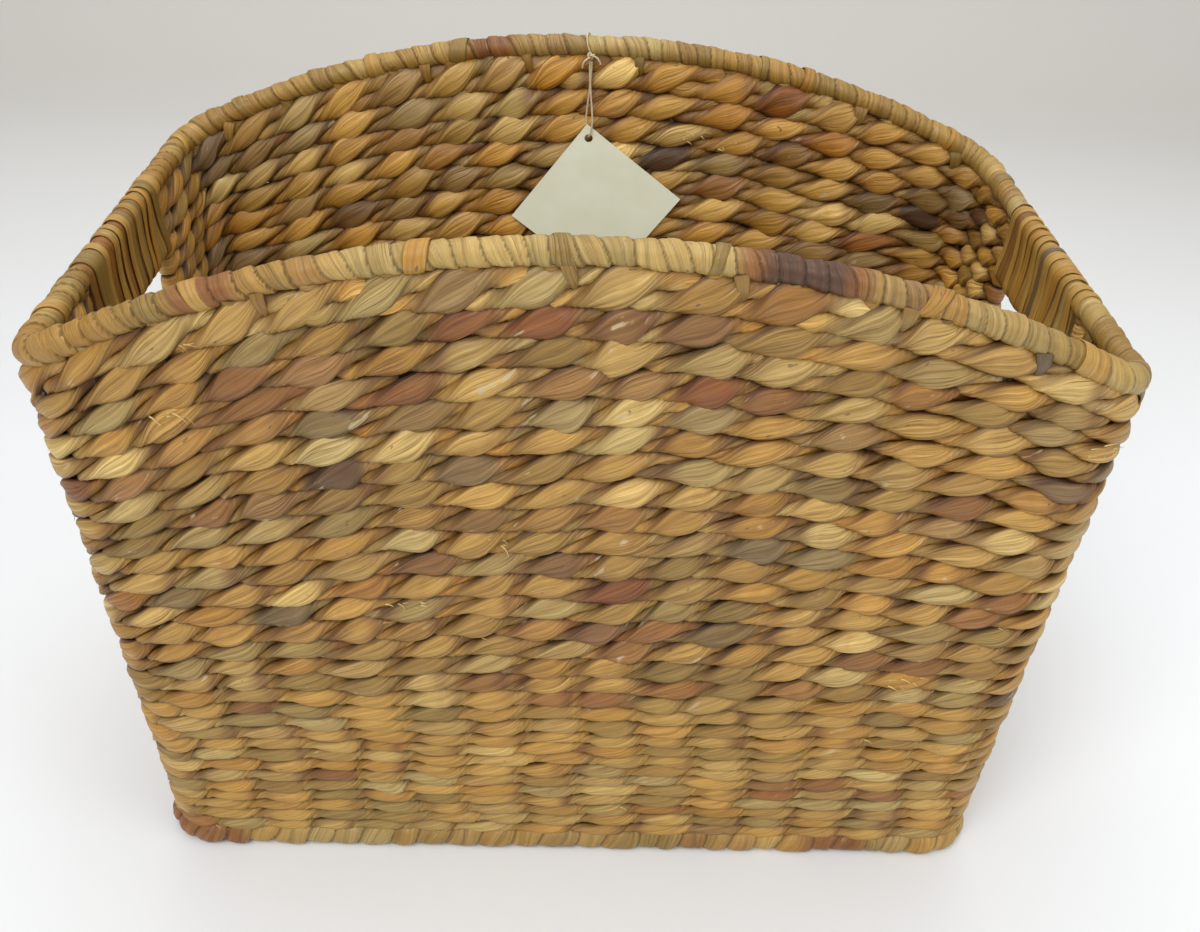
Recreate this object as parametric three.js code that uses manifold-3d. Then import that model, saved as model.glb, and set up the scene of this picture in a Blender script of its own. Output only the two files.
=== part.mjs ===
// Magazine basket: twined leaf courses on a welded wire frame, with an arched rim that is wrapped with leaf,
// a hand-hole at each end and a blank card tag hung from the back rim by a loop of twine.
// +X is the basket's right, +Y its back, and z = 0 the floor under it.
import * as THREE from "three";
import { mergeVertices } from "three/addons/utils/BufferGeometryUtils.js";
import Module from "manifold-3d";

const wasm = await Module();
wasm.setup();

// Overall form, in millimetres, between the middles of the hoop wires
const rimWidth = 430;
const rimDepth = 240;
const baseWidth = 400;
const baseDepth = 205;
const cornerHeight = 290; // the rim wire above the floor, at the corners and along the ends
const archRise = 54; // the middle of the front and back rims above their corners
const cornerRadius = 18; // seen from above, at the rim

// Wire frame
const hoopWire = 5; // rim wire, base hoop and grip bars
const stakeWire = 4; // stakes, posts and base wires
const seatGap = 0.3; // between two pieces that touch
const faceSpaces = 15; // between the uprights across the front and the back
const holeSpaces = 4; // between the uprights below a hand-hole
const besideSpaces = 3; // between a hand-hole post and its corner post
const baseWires = 7;

// Woven courses: each is an outer and an inner strand, which close on each other beside the corners
const courseCount = 30;
const ringCount = 24; // courses that run all the way round, below the hand-holes
const wallThickness = 12;
const strandBandShares = 0.7; // of a course's height, the upright band in the middle of its side
const lowCourseShare = 0.76; // height of the courses near the base, of those near the rim
const wideFromShare = 0.34; // of the courses, where they start to widen
const wideByShare = 0.56; // where they have their full height
const archFromShare = 0.34; // where they start to follow the rim's arch
const archEaseShare = 1.25; // how late they do so, as a power
const closingLength = 7; // of the bridge between the strands, from the corner's turn

// Wrapped edges
const rimWrapSize = 10.8; // across the wound rim
const rimGap = 2.4; // between the top course and the wound rim
const baseWrapSize = 10; // across the wound base edge
const handHoleWidth = 97;
const gripDrop = 31; // from the rim wire down to the grip bar
const gripWrapSize = 10.4; // across the web that is wound round the rim wire and the grip bar
const turnBack = 2.2; // leaf between a hand-hole and its post

// Woven base
const baseRowCount = 18;
const baseThickness = 8;
const rowGroove = 1; // depth of the grooves between the base's rows

// Hang tag, in its own frame: the origin on the rim wire, -z down along the back wall and +y out through it
const twine = 1;
const knotRadius = 1.7;
const knotOut = 7.4; // from the rim wire to the knot's middle
const knotAngle = Math.PI / 6; // below level
const cardSide = 65;
const cardThickness = 0.7;
const cardOut = 8.8; // from the wall's middle to the card, at the hole
const holeDrop = 45.5; // from the rim wire to the hole in the card
const holeRadius = 2.2;
const holeInset = 7.5; // from the card's corner to its hole
const cardTurn = THREE.MathUtils.degToRad(7.5);
// More than the wall leans, so that the card's lower corner rests on it
const cardLean = THREE.MathUtils.degToRad(1.2);
// The twine's route, chosen by hand: down in front of the card, through its hole and up behind it
const twineRoute = [
  [-0.8, -7.3, -5.9],
  [-0.8, -7.6, -11],
  [-0.75, -8.2, -16],
  [-0.7, -8.8, -21],
  [-0.6, -9.4, -26],
  [-0.5, -10, -31],
  [-0.35, -10.5, -36],
  [-0.2, -10.8, -40],
  [-0.1, -10.8, -42.5],
  [-0.05, -10.5, -43.5],
  [0, -9.8, -44.3],
  [0, -8.8, -44.6],
  [0, -7.8, -44.3],
  [0.05, -7.1, -43.5],
  [0.1, -6.8, -42.5],
  [0.2, -6.8, -40],
  [0.35, -6.8, -36],
  [0.5, -6.8, -31],
  [0.6, -6.8, -26],
  [0.7, -6.8, -21],
  [0.75, -6.8, -16],
  [0.8, -6.8, -11],
  [0.8, -6.7, -6.2],
];

// Faces on what is round or arched
const archSteps = 6; // of a course
const rimArchSteps = 10;
const turnSteps = 2; // of a corner
const rimTurnSteps = 4;
const rimWrapSides = 8;
const wireSides = 8;
const stakeSides = 5;
const twineSides = 8;
const routeSteps = 30;
const loopSteps = 12;
const knotSides = 10;
const knotRings = 6;

const halfWidth = rimWidth / 2;
const halfDepth = rimDepth / 2;
const hoopRadius = hoopWire / 2;
const stakeRadius = stakeWire / 2;
const channelRadius = hoopRadius + seatGap; // round a hoop wire, inside its wrap
const slotHalf = stakeRadius + seatGap; // beside an upright
const rimWrapRadius = rimWrapSize / 2;
const hoopHeight = baseWrapSize / 2;
const postReach = handHoleWidth / 2 + turnBack + slotHalf; // of a hand-hole post, from the basket's middle
const lowestCourse = baseWrapSize + seatGap;
const archRadius = (halfWidth * halfWidth + archRise * archRise) / (2 * archRise);
const wallLean = Math.atan2((rimDepth - baseDepth) / 2, cornerHeight - hoopHeight);

const turnX = halfWidth - cornerRadius;
const turnY = halfDepth - cornerRadius;

// The wall from above

// A station is a point on the wall's middle line at the rim, with the direction that faces out of the basket
function station(x, y, facing) {
  return { x, y, outX: Math.cos(facing), outY: Math.sin(facing), closedAfter: false };
}

// From the right end over the back to the left end. endYs lists the stations along an end, from the middle
// outwards, and faceXs those across the back, from the right. The strands of a course are closed on each
// other after a station that is marked so: between two end stations, and after the right corner.
function backRun(endYs, faceXs, cornerSteps) {
  const corner = (centreX, from) =>
    Array.from({ length: cornerSteps + 1 }, (_, i) => {
      const facing = from + (i / cornerSteps) * (Math.PI / 2);
      const x = centreX + cornerRadius * Math.cos(facing);
      return station(x, turnY + cornerRadius * Math.sin(facing), facing);
    });
  const right = endYs.map((y) => station(halfWidth, y, 0));
  const left = endYs.map((y) => station(-halfWidth, y, Math.PI)).reverse();
  const rightCorner = corner(turnX, 0);
  const face = faceXs.map((x) => station(x, halfDepth, Math.PI / 2));
  for (const s of right.slice(0, -1)) s.closedAfter = true;
  for (const s of left.slice(0, -1)) s.closedAfter = true;
  rightCorner[cornerSteps].closedAfter = true;
  return [...right, ...rightCorner, ...face, ...corner(-turnX, Math.PI / 2), ...left];
}

// The front is the back turned half round
function frontRun(endYs, faceXs, cornerSteps) {
  const turned = (s) => ({ ...s, x: -s.x, y: -s.y, outX: -s.outX, outY: -s.outY });
  return backRun(endYs, faceXs, cornerSteps).map(turned);
}

function fullRound(faceXs, cornerSteps) {
  return [...backRun([], faceXs, cornerSteps), ...frontRun([], faceXs, cornerSteps)];
}

// Places spaced evenly between reach and its mirror image, without those two
function evenly(reach, steps) {
  return Array.from({ length: steps - 1 }, (_, i) => reach * (1 - (2 * (i + 1)) / steps));
}

// The wall leans out evenly from the base hoop to the rim wire, so its plan grows with height
function wallPoint(s, height, offset) {
  const upShare = (height - hoopHeight) / (cornerHeight - hoopHeight);
  const widthShare = (baseWidth + (rimWidth - baseWidth) * upShare) / rimWidth;
  const depthShare = (baseDepth + (rimDepth - baseDepth) * upShare) / rimDepth;
  return new THREE.Vector3(s.x * widthShare + s.outX * offset, s.y * depthShare + s.outY * offset, height);
}

// The rim: a circular arc over the front and the back, level along the ends

function rimHeight(s) {
  return cornerHeight + archRise - archRadius + Math.sqrt(archRadius ** 2 - s.x ** 2);
}

function rimSlope(s) {
  return (Math.abs(s.x) / Math.sqrt(archRadius ** 2 - s.x ** 2)) * Math.abs(s.outY);
}

// How much taller an upright cut across the sloping rim is than a square one
function rimStretch(s) {
  return Math.hypot(1, rimSlope(s));
}

// The arched wire is made of straight lengths, whose middles lie a little lower than the arc
const rimChordDip = (2 * turnX / rimArchSteps) ** 2 / (8 * archRadius);

function underRimWire(s) {
  const dip = rimChordDip * Math.abs(s.outY);
  return rimHeight(s) - hoopRadius * rimStretch(s) - stakeRadius * rimSlope(s) - dip - seatGap;
}

// Heights of the courses: the low ones are level, and the rest fan out to follow the arch of the rim

function smoothRise(from, to, at) {
  return THREE.MathUtils.smoothstep(at, from, to);
}

const courseLevelShares = [0];
for (let i = 0; i < courseCount; i++) {
  const widened = smoothRise(wideFromShare, wideByShare, (i + 1 / 2) / courseCount);
  courseLevelShares.push(courseLevelShares[i] + lowCourseShare + (1 - lowCourseShare) * widened);
}
const levelTotal = courseLevelShares[courseCount];

function archShare(level) {
  return Math.max(0, (level / courseCount - archFromShare) / (1 - archFromShare)) ** archEaseShare;
}

function courseHeight(level, s) {
  const cornerTop = cornerHeight - rimWrapRadius - rimGap;
  const atCorner = lowestCourse + (courseLevelShares[level] / levelTotal) * (cornerTop - lowestCourse);
  return atCorner + archShare(level) * (rimHeight(s) - cornerHeight);
}

// Solids

// A section is a list of [offset, height] pairs, anticlockwise with the offset drawn to the right and the
// height drawn up
function pointsOf(stations, sections) {
  const placed = (s, section) => section.map(([offset, height]) => wallPoint(s, height, offset));
  return stations.flatMap((s, i) => placed(s, sections[i]));
}

// Sweeps the section that sectionAt gives round a run of stations
function sweep(stations, sectionAt, closed) {
  const sections = stations.map(sectionAt);
  const sides = sections[0].length;
  const points = pointsOf(stations, sections);
  const faces = [];
  const spans = closed ? stations.length : stations.length - 1;
  for (let i = 0; i < spans; i++) {
    const here = i * sides;
    const next = ((i + 1) % stations.length) * sides;
    for (let j = 0; j < sides; j++) {
      const k = (j + 1) % sides;
      faces.push(here + j, next + j, next + k, here + j, next + k, here + k);
    }
  }
  if (!closed) {
    const last = (stations.length - 1) * sides;
    const ends = [
      [sections[0], 0, false],
      [sections[stations.length - 1], last, true],
    ];
    for (const [section, first, turned] of ends) {
      const outline = section.map(([offset, height]) => new THREE.Vector2(offset, height));
      for (const [a, b, c] of THREE.ShapeUtils.triangulateShape(outline, [])) {
        faces.push(first + a, first + (turned ? c : b), first + (turned ? b : c));
      }
    }
  }
  return new THREE.BufferGeometry().setFromPoints(points).setIndex(faces);
}

// A straight round bar from one point to another
function bar(from, to, radius, sides) {
  const along = to.clone().sub(from);
  const geometry = new THREE.CylinderGeometry(radius, radius, along.length(), sides);
  const upright = new THREE.Vector3(0, 1, 0);
  const turn = new THREE.Quaternion().setFromUnitVectors(upright, along.clone().normalize());
  const middle = from.clone().add(to).multiplyScalar(1 / 2);
  return geometry.applyQuaternion(turn).translate(middle.x, middle.y, middle.z);
}

function solidOf(geometry) {
  const bare = geometry.clone();
  bare.deleteAttribute("normal");
  bare.deleteAttribute("uv");
  const merged = mergeVertices(bare);
  const vertProperties = merged.attributes.position.array;
  return new wasm.Manifold(new wasm.Mesh({ numProp: 3, vertProperties, triVerts: merged.index.array }));
}

function geometryOf(solid) {
  const cut = solid.getMesh();
  const geometry = new THREE.BufferGeometry();
  geometry.setAttribute("position", new THREE.BufferAttribute(cut.vertProperties, 3));
  return geometry.setIndex(new THREE.BufferAttribute(cut.triVerts, 1));
}

const joined = (geometries) => geometries.map(solidOf).reduce((whole, piece) => whole.add(piece));
const without = (solid, cutters) => cutters.reduce((left, cutter) => left.subtract(cutter), solid);

// A regular many-sided section about the middle of the wall, with flats at its top and bottom
function roundSection(radius, height, sides, stretch) {
  return Array.from({ length: sides }, (_, i) => {
    const angle = ((i + 1 / 2) / sides) * 2 * Math.PI;
    return [radius * Math.cos(angle), height + radius * stretch * Math.sin(angle)];
  });
}

// Materials

const leaf = (colour) => new THREE.MeshStandardMaterial({ color: colour, roughness: 0.55, metalness: 0 });
const wireFinish = () => new THREE.MeshStandardMaterial({ color: 0x4a4642, roughness: 0.5, metalness: 0.8 });
const cardFinish = () => new THREE.MeshStandardMaterial({ color: 0xd9dcc8, roughness: 0.7, metalness: 0 });
const twineFinish = () => new THREE.MeshStandardMaterial({ color: 0xa88a5c, roughness: 0.85, metalness: 0 });
const courseColour = 0xc09a5e;
const wrapColour = 0xc7a36a;

const basket = new THREE.Group();

function addPiece(name, geometry, material, group = basket) {
  const mesh = new THREE.Mesh(geometry, material);
  mesh.name = name;
  group.add(mesh);
  return mesh;
}

// Uprights of the frame, by where they stand

const backStakes = Array.from({ length: faceSpaces - 1 }, (_, i) =>
  station(halfWidth - (rimWidth * (i + 1)) / faceSpaces, halfDepth, Math.PI / 2),
);
const besideStakes = [];
const holeStakes = [];
const handHolePosts = [];
const cornerPosts = [];
for (const [side, facing] of [[1, 0], [-1, Math.PI]]) {
  for (let i = 1; i < holeSpaces; i++) {
    holeStakes.push(station(side * halfWidth, postReach * ((2 * i) / holeSpaces - 1), facing));
  }
  for (const end of [1, -1]) {
    for (let i = 1; i < besideSpaces; i++) {
      const reach = postReach + ((halfDepth - postReach) * i) / besideSpaces;
      besideStakes.push(station(side * halfWidth, end * reach, facing));
    }
    const place = (side > 0 ? "right" : "left") + (end > 0 ? "_back" : "_front");
    handHolePosts.push({ place, at: station(side * halfWidth, end * postReach, facing) });
    const diagonal = Math.atan2(end, side);
    const cornerX = side * (halfWidth - cornerRadius) + cornerRadius * Math.cos(diagonal);
    const cornerY = end * (halfDepth - cornerRadius) + cornerRadius * Math.sin(diagonal);
    cornerPosts.push({ place, at: station(cornerX, cornerY, diagonal) });
  }
}
const frontStakes = backStakes.map((s) => station(-s.x, -s.y, -Math.PI / 2));

// Room for the grip bars in the courses that turn back beside the hand-holes

const gripHeight = cornerHeight - gripDrop;
const gripBarEnd = postReach - stakeRadius - seatGap;

function gripBar(side, reach, radius) {
  const facing = side > 0 ? 0 : Math.PI;
  const from = wallPoint(station(side * halfWidth, -reach, facing), gripHeight, 0);
  return bar(from, wallPoint(station(side * halfWidth, reach, facing), gripHeight, 0), radius, wireSides);
}

const gripChannel = channelRadius / Math.cos(Math.PI / wireSides);
const gripHoles = [1, -1].map((side) => solidOf(gripBar(side, postReach, gripChannel)));

// Courses

// Seven points round a course, anticlockwise: two at the slot below it, two on its outer side, two at the
// slot above it and one on its inner side
function courseSection(level, s) {
  const bulge = wallThickness / 2;
  const bottom = courseHeight(level, s);
  const top = courseHeight(level + 1, s) - seatGap;
  const middle = (bottom + top) / 2;
  const band = ((top - bottom) / 2) * strandBandShares;
  return [
    [-slotHalf, bottom],
    [slotHalf, bottom],
    [bulge, middle - band],
    [bulge, middle + band],
    [slotHalf, top],
    [-slotHalf, top],
    [-bulge, middle],
  ];
}

// Two strands with the uprights' slot between them, bridged where the stations say so
function courseGeometry(stations, level, closed) {
  const sections = stations.map((s) => courseSection(level, s));
  const sides = sections[0].length;
  const points = pointsOf(stations, sections);
  const wholeEdges = sections[0].map((_, j) => [j, (j + 1) % sides]);
  const strandEdges = [[1, 2], [2, 3], [3, 4], [4, 1], [5, 6], [6, 0], [0, 5]];
  const bridgeEnd = [[0, 1, 4], [0, 4, 5]];
  const faces = [];
  const spans = closed ? stations.length : stations.length - 1;
  for (let i = 0; i < spans; i++) {
    const here = i * sides;
    const next = ((i + 1) % stations.length) * sides;
    const edges = stations[i].closedAfter ? wholeEdges : strandEdges;
    for (const [j, k] of edges) faces.push(here + j, next + j, next + k, here + j, next + k, here + k);
    const closedBefore = i > 0 || closed ? stations.at(i - 1).closedAfter : stations[i].closedAfter;
    if (stations[i].closedAfter === closedBefore) continue;
    for (const [a, b, c] of bridgeEnd) {
      if (closedBefore) faces.push(here + a, here + c, here + b);
      else faces.push(here + a, here + b, here + c);
    }
  }
  if (!closed) {
    const last = (stations.length - 1) * sides;
    const cap = [[0, 1, 2], [0, 2, 6], [6, 2, 3], [6, 3, 5], [5, 3, 4]];
    for (const [a, b, c] of cap) faces.push(a, b, c, last + a, last + c, last + b);
  }
  return new THREE.BufferGeometry().setFromPoints(points).setIndex(faces);
}

const closingX = turnX - closingLength;
const archedXs = [closingX, ...evenly(turnX, archSteps)];
const levelXs = [closingX];

for (let level = 0; level < ringCount; level++) {
  const stations = fullRound(archShare(level + 1) > 0 ? archedXs : levelXs, turnSteps);
  const name = "course_" + String(level + 1).padStart(2, "0");
  addPiece(name, courseGeometry(stations, level, true), leaf(courseColour));
}

const turnBackYs = [handHoleWidth / 2, handHoleWidth / 2 + turnBack];
for (let level = ringCount; level < courseCount; level++) {
  const atEnd = station(halfWidth, 0, 0);
  const belowBarTop = courseHeight(level, atEnd) < gripHeight + channelRadius;
  const aboveBarFoot = courseHeight(level + 1, atEnd) > gripHeight - channelRadius;
  for (const [side, run] of [["_back", backRun], ["_front", frontRun]]) {
    const strands = courseGeometry(run(turnBackYs, archedXs, turnSteps), level, false);
    const meetsBar = belowBarTop && aboveBarFoot;
    const course = meetsBar ? geometryOf(without(solidOf(strands), gripHoles)) : strands;
    addPiece("course_" + (level + 1) + side, course, leaf(courseColour));
  }
}

// Wound edges: the leaf wraps leave a channel for the wire, open towards the uprights that stand on it

function rimWrapSection(s) {
  const mouth = Math.acos(slotHalf / rimWrapRadius);
  const innerMouth = Math.acos(slotHalf / channelRadius);
  const section = [];
  for (let i = 0; i <= rimWrapSides; i++) {
    const angle = -mouth + (i / rimWrapSides) * (Math.PI + 2 * mouth);
    section.push([rimWrapRadius * Math.cos(angle), rimWrapRadius * Math.sin(angle)]);
  }
  const innerSides = rimWrapSides / 2;
  const innerTurn = (Math.PI + 2 * innerMouth) / innerSides;
  const innerReach = channelRadius / Math.cos(innerTurn / 2);
  for (let i = 0; i <= innerSides; i++) {
    const angle = Math.PI + innerMouth - i * innerTurn;
    section.push([innerReach * Math.cos(angle), innerReach * Math.sin(angle)]);
  }
  return section.map(([offset, up]) => [offset, rimHeight(s) + up * rimStretch(s)]);
}

const wrapEnds = [handHoleWidth / 2];
const rimXs = evenly(turnX, rimArchSteps);
for (const [side, run] of [["back", backRun], ["front", frontRun]]) {
  const wrap = sweep(run(wrapEnds, rimXs, rimTurnSteps), rimWrapSection, false);
  addPiece("rim_wrap_" + side, wrap, leaf(wrapColour));
}

function baseWrapSection() {
  const reach = baseWrapSize / 2;
  const flat = reach * Math.tan(Math.PI / wireSides);
  const channelFlat = channelRadius * Math.tan(Math.PI / wireSides);
  const lip = reach + flat - channelRadius;
  const section = [
    [-lip, -channelRadius],
    [-flat, -reach],
    [flat, -reach],
    [reach, -flat],
    [reach, flat],
    [channelRadius, lip],
    [channelRadius, -channelFlat],
    [channelFlat, -channelRadius],
  ];
  return section.map(([offset, up]) => [offset, hoopHeight + up]);
}

addPiece("base_wrap", sweep(fullRound([], turnSteps), baseWrapSection, true), leaf(wrapColour));

// A flat web of leaf is wound round the rim wire and the grip bar between the two posts of a hand-hole
function gripWeb(side) {
  const facing = side > 0 ? 0 : Math.PI;
  const reach = handHoleWidth / 2 - seatGap;
  const radius = gripWrapSize / 2;
  const section = () => {
    const outline = [];
    for (let i = 0; i < wireSides; i++) {
      const angle = (i / (wireSides - 1)) * Math.PI;
      outline.push([radius * Math.cos(angle), cornerHeight + radius * Math.sin(angle)]);
    }
    for (let i = 0; i < wireSides; i++) {
      const angle = Math.PI + (i / (wireSides - 1)) * Math.PI;
      outline.push([radius * Math.cos(angle), gripHeight + radius * Math.sin(angle)]);
    }
    return outline;
  };
  const from = station(side * halfWidth, -side * reach, facing);
  const to = station(side * halfWidth, side * reach, facing);
  const wireFrom = wallPoint(station(side * halfWidth, -halfDepth, facing), cornerHeight, 0);
  const wireTo = wallPoint(station(side * halfWidth, halfDepth, facing), cornerHeight, 0);
  const rimChannel = bar(wireFrom, wireTo, gripChannel, wireSides);
  const channels = [rimChannel, gripBar(side, halfDepth, gripChannel)];
  return geometryOf(without(solidOf(sweep([from, to], section, false)), channels.map(solidOf)));
}

addPiece("handle_wrap_right", gripWeb(1), leaf(wrapColour));
addPiece("handle_wrap_left", gripWeb(-1), leaf(wrapColour));

// Frame

const rimSection = (s) => roundSection(hoopRadius, rimHeight(s), wireSides, rimStretch(s));
addPiece("rim_wire", sweep(fullRound(rimXs, rimTurnSteps), rimSection, true), wireFinish());

const hoopSection = () => roundSection(hoopRadius, hoopHeight, wireSides, 1);
const upright = (s, top) => bar(wallPoint(s, hoopHeight, 0), wallPoint(s, top, 0), stakeRadius, stakeSides);
const holeFloor = courseHeight(ringCount, station(halfWidth, 0, 0)) - seatGap;
const crossWires = Array.from({ length: baseWires }, (_, i) => {
  const x = halfWidth * ((2 * (i + 1)) / (baseWires + 1) - 1);
  const back = wallPoint(station(x, halfDepth, Math.PI / 2), hoopHeight, 0);
  return [wallPoint(station(x, -halfDepth, -Math.PI / 2), hoopHeight, 0), back];
});
addPiece(
  "stake_cage",
  geometryOf(
    joined([
      sweep(fullRound([], turnSteps), hoopSection, true),
      ...[...frontStakes, ...backStakes, ...besideStakes].map((s) => upright(s, underRimWire(s))),
      ...holeStakes.map((s) => upright(s, holeFloor - stakeRadius)),
      ...crossWires.map(([front, back]) => bar(front, back, stakeRadius, stakeSides)),
    ]),
  ),
  wireFinish(),
);

const postFoot = hoopHeight + hoopRadius + seatGap;
function post(s) {
  return bar(wallPoint(s, postFoot, 0), wallPoint(s, underRimWire(s), 0), stakeRadius, wireSides);
}
for (const { place, at } of cornerPosts) addPiece("corner_post_" + place, post(at), wireFinish());
for (const { place, at } of handHolePosts) addPiece("handle_post_" + place, post(at), wireFinish());
addPiece("grip_bar_right", gripBar(1, gripBarEnd, hoopRadius), wireFinish());
addPiece("grip_bar_left", gripBar(-1, gripBarEnd, hoopRadius), wireFinish());

// Woven base: rows along the basket, through which the cross wires pass

function baseWeave() {
  const width = baseDepth / baseRowCount;
  const top = hoopHeight + baseThickness / 2;
  const bottom = hoopHeight - baseThickness / 2;
  const outline = [];
  for (let i = 0; i <= baseRowCount; i++) {
    outline.push([-baseDepth / 2 + i * width, bottom + rowGroove]);
    if (i < baseRowCount) outline.push([-baseDepth / 2 + (i + 1 / 2) * width, bottom]);
  }
  for (let i = baseRowCount; i >= 0; i--) {
    outline.push([-baseDepth / 2 + i * width, top - rowGroove]);
    if (i > 0) outline.push([-baseDepth / 2 + (i - 1 / 2) * width, top]);
  }
  const rows = new THREE.Shape(outline.map(([across, up]) => new THREE.Vector2(across, up)));
  const ridged = new THREE.ExtrudeGeometry(rows, { depth: baseWidth, bevelEnabled: false, steps: 1 });
  ridged.translate(0, 0, -baseWidth / 2);
  const acrossIsY = new THREE.Vector3(0, 1, 0);
  const upIsZ = new THREE.Vector3(0, 0, 1);
  const alongIsX = new THREE.Vector3(1, 0, 0);
  ridged.applyMatrix4(new THREE.Matrix4().makeBasis(acrossIsY, upIsZ, alongIsX));
  const inset = baseWrapSize / 2 + seatGap;
  const edge = fullRound([], turnSteps).map((s) => wallPoint(s, hoopHeight, -inset));
  const floor = new THREE.Shape(edge.map((p) => new THREE.Vector2(p.x, p.y)));
  const plan = new THREE.ExtrudeGeometry(floor, { depth: baseWrapSize, bevelEnabled: false, steps: 1 });
  const reach = slotHalf / Math.cos(Math.PI / stakeSides);
  const bores = crossWires.map(([front, back]) => solidOf(bar(front, back, reach, stakeSides)));
  return geometryOf(without(solidOf(ridged).intersect(solidOf(plan)), bores));
}

addPiece("base_weave", baseWeave(), leaf(courseColour));

// Hang tag

const hangTag = new THREE.Group();
hangTag.position.copy(wallPoint(station(0, halfDepth, Math.PI / 2), cornerHeight + archRise, 0));
hangTag.rotation.x = -wallLean;
basket.add(hangTag);

function twineTube(curve, steps) {
  const ring = Array.from({ length: twineSides }, (_, i) => {
    const angle = (i / twineSides) * 2 * Math.PI;
    return new THREE.Vector2((twine / 2) * Math.cos(angle), (twine / 2) * Math.sin(angle));
  });
  const settings = { steps, bevelEnabled: false, extrudePath: curve };
  return new THREE.ExtrudeGeometry(new THREE.Shape(ring), settings);
}

const loopRadius = rimWrapRadius + seatGap + twine / 2;
const knotClear = knotRadius + 2 * seatGap;
const loopGapCosine = (loopRadius ** 2 + knotOut ** 2 - knotClear ** 2) / (2 * loopRadius * knotOut);
const loopGap = Math.acos(loopGapCosine);

// The loop round the rim, from one side of the knot to the other
class RimLoop extends THREE.Curve {
  getPoint(t, target = new THREE.Vector3()) {
    const angle = knotAngle + loopGap + t * 2 * (Math.PI - loopGap);
    return target.set(0, -loopRadius * Math.cos(angle), -loopRadius * Math.sin(angle));
  }
}

addPiece("rim_loop", twineTube(new RimLoop(), loopSteps), twineFinish(), hangTag);

const knotBall = new THREE.SphereGeometry(knotRadius, knotSides, knotRings);
const knot = addPiece("string_knot", knotBall, twineFinish(), hangTag);
knot.position.set(0, -knotOut * Math.cos(knotAngle), -knotOut * Math.sin(knotAngle));

const route = new THREE.CatmullRomCurve3(twineRoute.map(([x, y, z]) => new THREE.Vector3(x, y, z)));
addPiece("tag_string", twineTube(route, routeSteps), twineFinish(), hangTag);

function tagCard() {
  const half = cardSide / 2;
  const inset = holeInset / Math.SQRT2;
  const outline = [[-half, -half], [half, -half], [half, half], [-half, half]];
  const square = new THREE.Shape(outline.map(([x, y]) => new THREE.Vector2(x, y)));
  const hole = new THREE.Path().absarc(half - inset, half - inset, holeRadius, 0, 2 * Math.PI, true);
  square.holes.push(hole);
  const card = new THREE.ExtrudeGeometry(square, { depth: cardThickness, bevelEnabled: false, steps: 1 });
  // The hole comes to the origin, the card's diagonal is turned upright, and the card is stood up
  card.translate(inset - half, inset - half, -cardThickness / 2);
  card.rotateZ(Math.PI / 4 + cardTurn);
  card.rotateX(Math.PI / 2);
  return card;
}

const card = addPiece("tag_card", tagCard(), cardFinish(), hangTag);
card.position.set(0, -cardOut, -holeDrop);
card.rotation.x = cardLean;

export default basket;
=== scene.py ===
import math
import bpy
import numpy as np
from mathutils import Matrix, Vector


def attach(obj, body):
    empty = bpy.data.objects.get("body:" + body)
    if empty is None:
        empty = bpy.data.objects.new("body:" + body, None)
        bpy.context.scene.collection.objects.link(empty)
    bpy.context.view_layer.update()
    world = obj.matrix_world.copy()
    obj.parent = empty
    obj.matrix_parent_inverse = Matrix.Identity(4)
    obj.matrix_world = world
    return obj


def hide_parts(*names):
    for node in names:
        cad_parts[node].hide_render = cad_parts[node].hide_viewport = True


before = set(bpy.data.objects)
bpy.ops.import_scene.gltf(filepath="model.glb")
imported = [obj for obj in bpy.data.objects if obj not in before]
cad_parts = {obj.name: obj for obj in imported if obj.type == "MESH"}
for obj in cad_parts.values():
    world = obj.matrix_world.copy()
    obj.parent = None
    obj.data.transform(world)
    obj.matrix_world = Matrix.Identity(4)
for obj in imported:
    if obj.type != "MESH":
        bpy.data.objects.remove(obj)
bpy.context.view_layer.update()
print("basket: frame loaded,", len(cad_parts), "nodes")


# Camera: the photograph's view, from above the middle of the front. Angles are in degrees.

camera = {
    "place": (-0.0075, -0.5282, 0.5326),
    "yaw": 1.87,
    "pitch": 34.72,
    "roll": 2.44,
    "lens": 37.47,
    "sensor": 36,
    "clip": (0.01, 50),
}


def setCamera(c):
    yaw, pitch, roll = (math.radians(c[k]) for k in ("yaw", "pitch", "roll"))
    ahead = np.array([math.sin(yaw) * math.cos(pitch), math.cos(yaw) * math.cos(pitch), -math.sin(pitch)])
    level = np.array([math.cos(yaw), -math.sin(yaw), 0])
    above = np.cross(level, ahead)
    right = level * math.cos(roll) + above * math.sin(roll)
    up = -level * math.sin(roll) + above * math.cos(roll)
    data = bpy.data.cameras.new("photoCamera")
    data.lens = c["lens"]
    data.sensor_width = c["sensor"]
    data.clip_start, data.clip_end = c["clip"]
    cam = bpy.data.objects.new("photoCamera", data)
    bpy.context.scene.collection.objects.link(cam)
    turned = np.eye(4)
    turned[:3, 0], turned[:3, 1], turned[:3, 2], turned[:3, 3] = right, up, -ahead, c["place"]
    cam.matrix_world = Matrix(turned.tolist())
    bpy.context.scene.camera = cam


setCamera(camera)


# Mesh helpers

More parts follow.
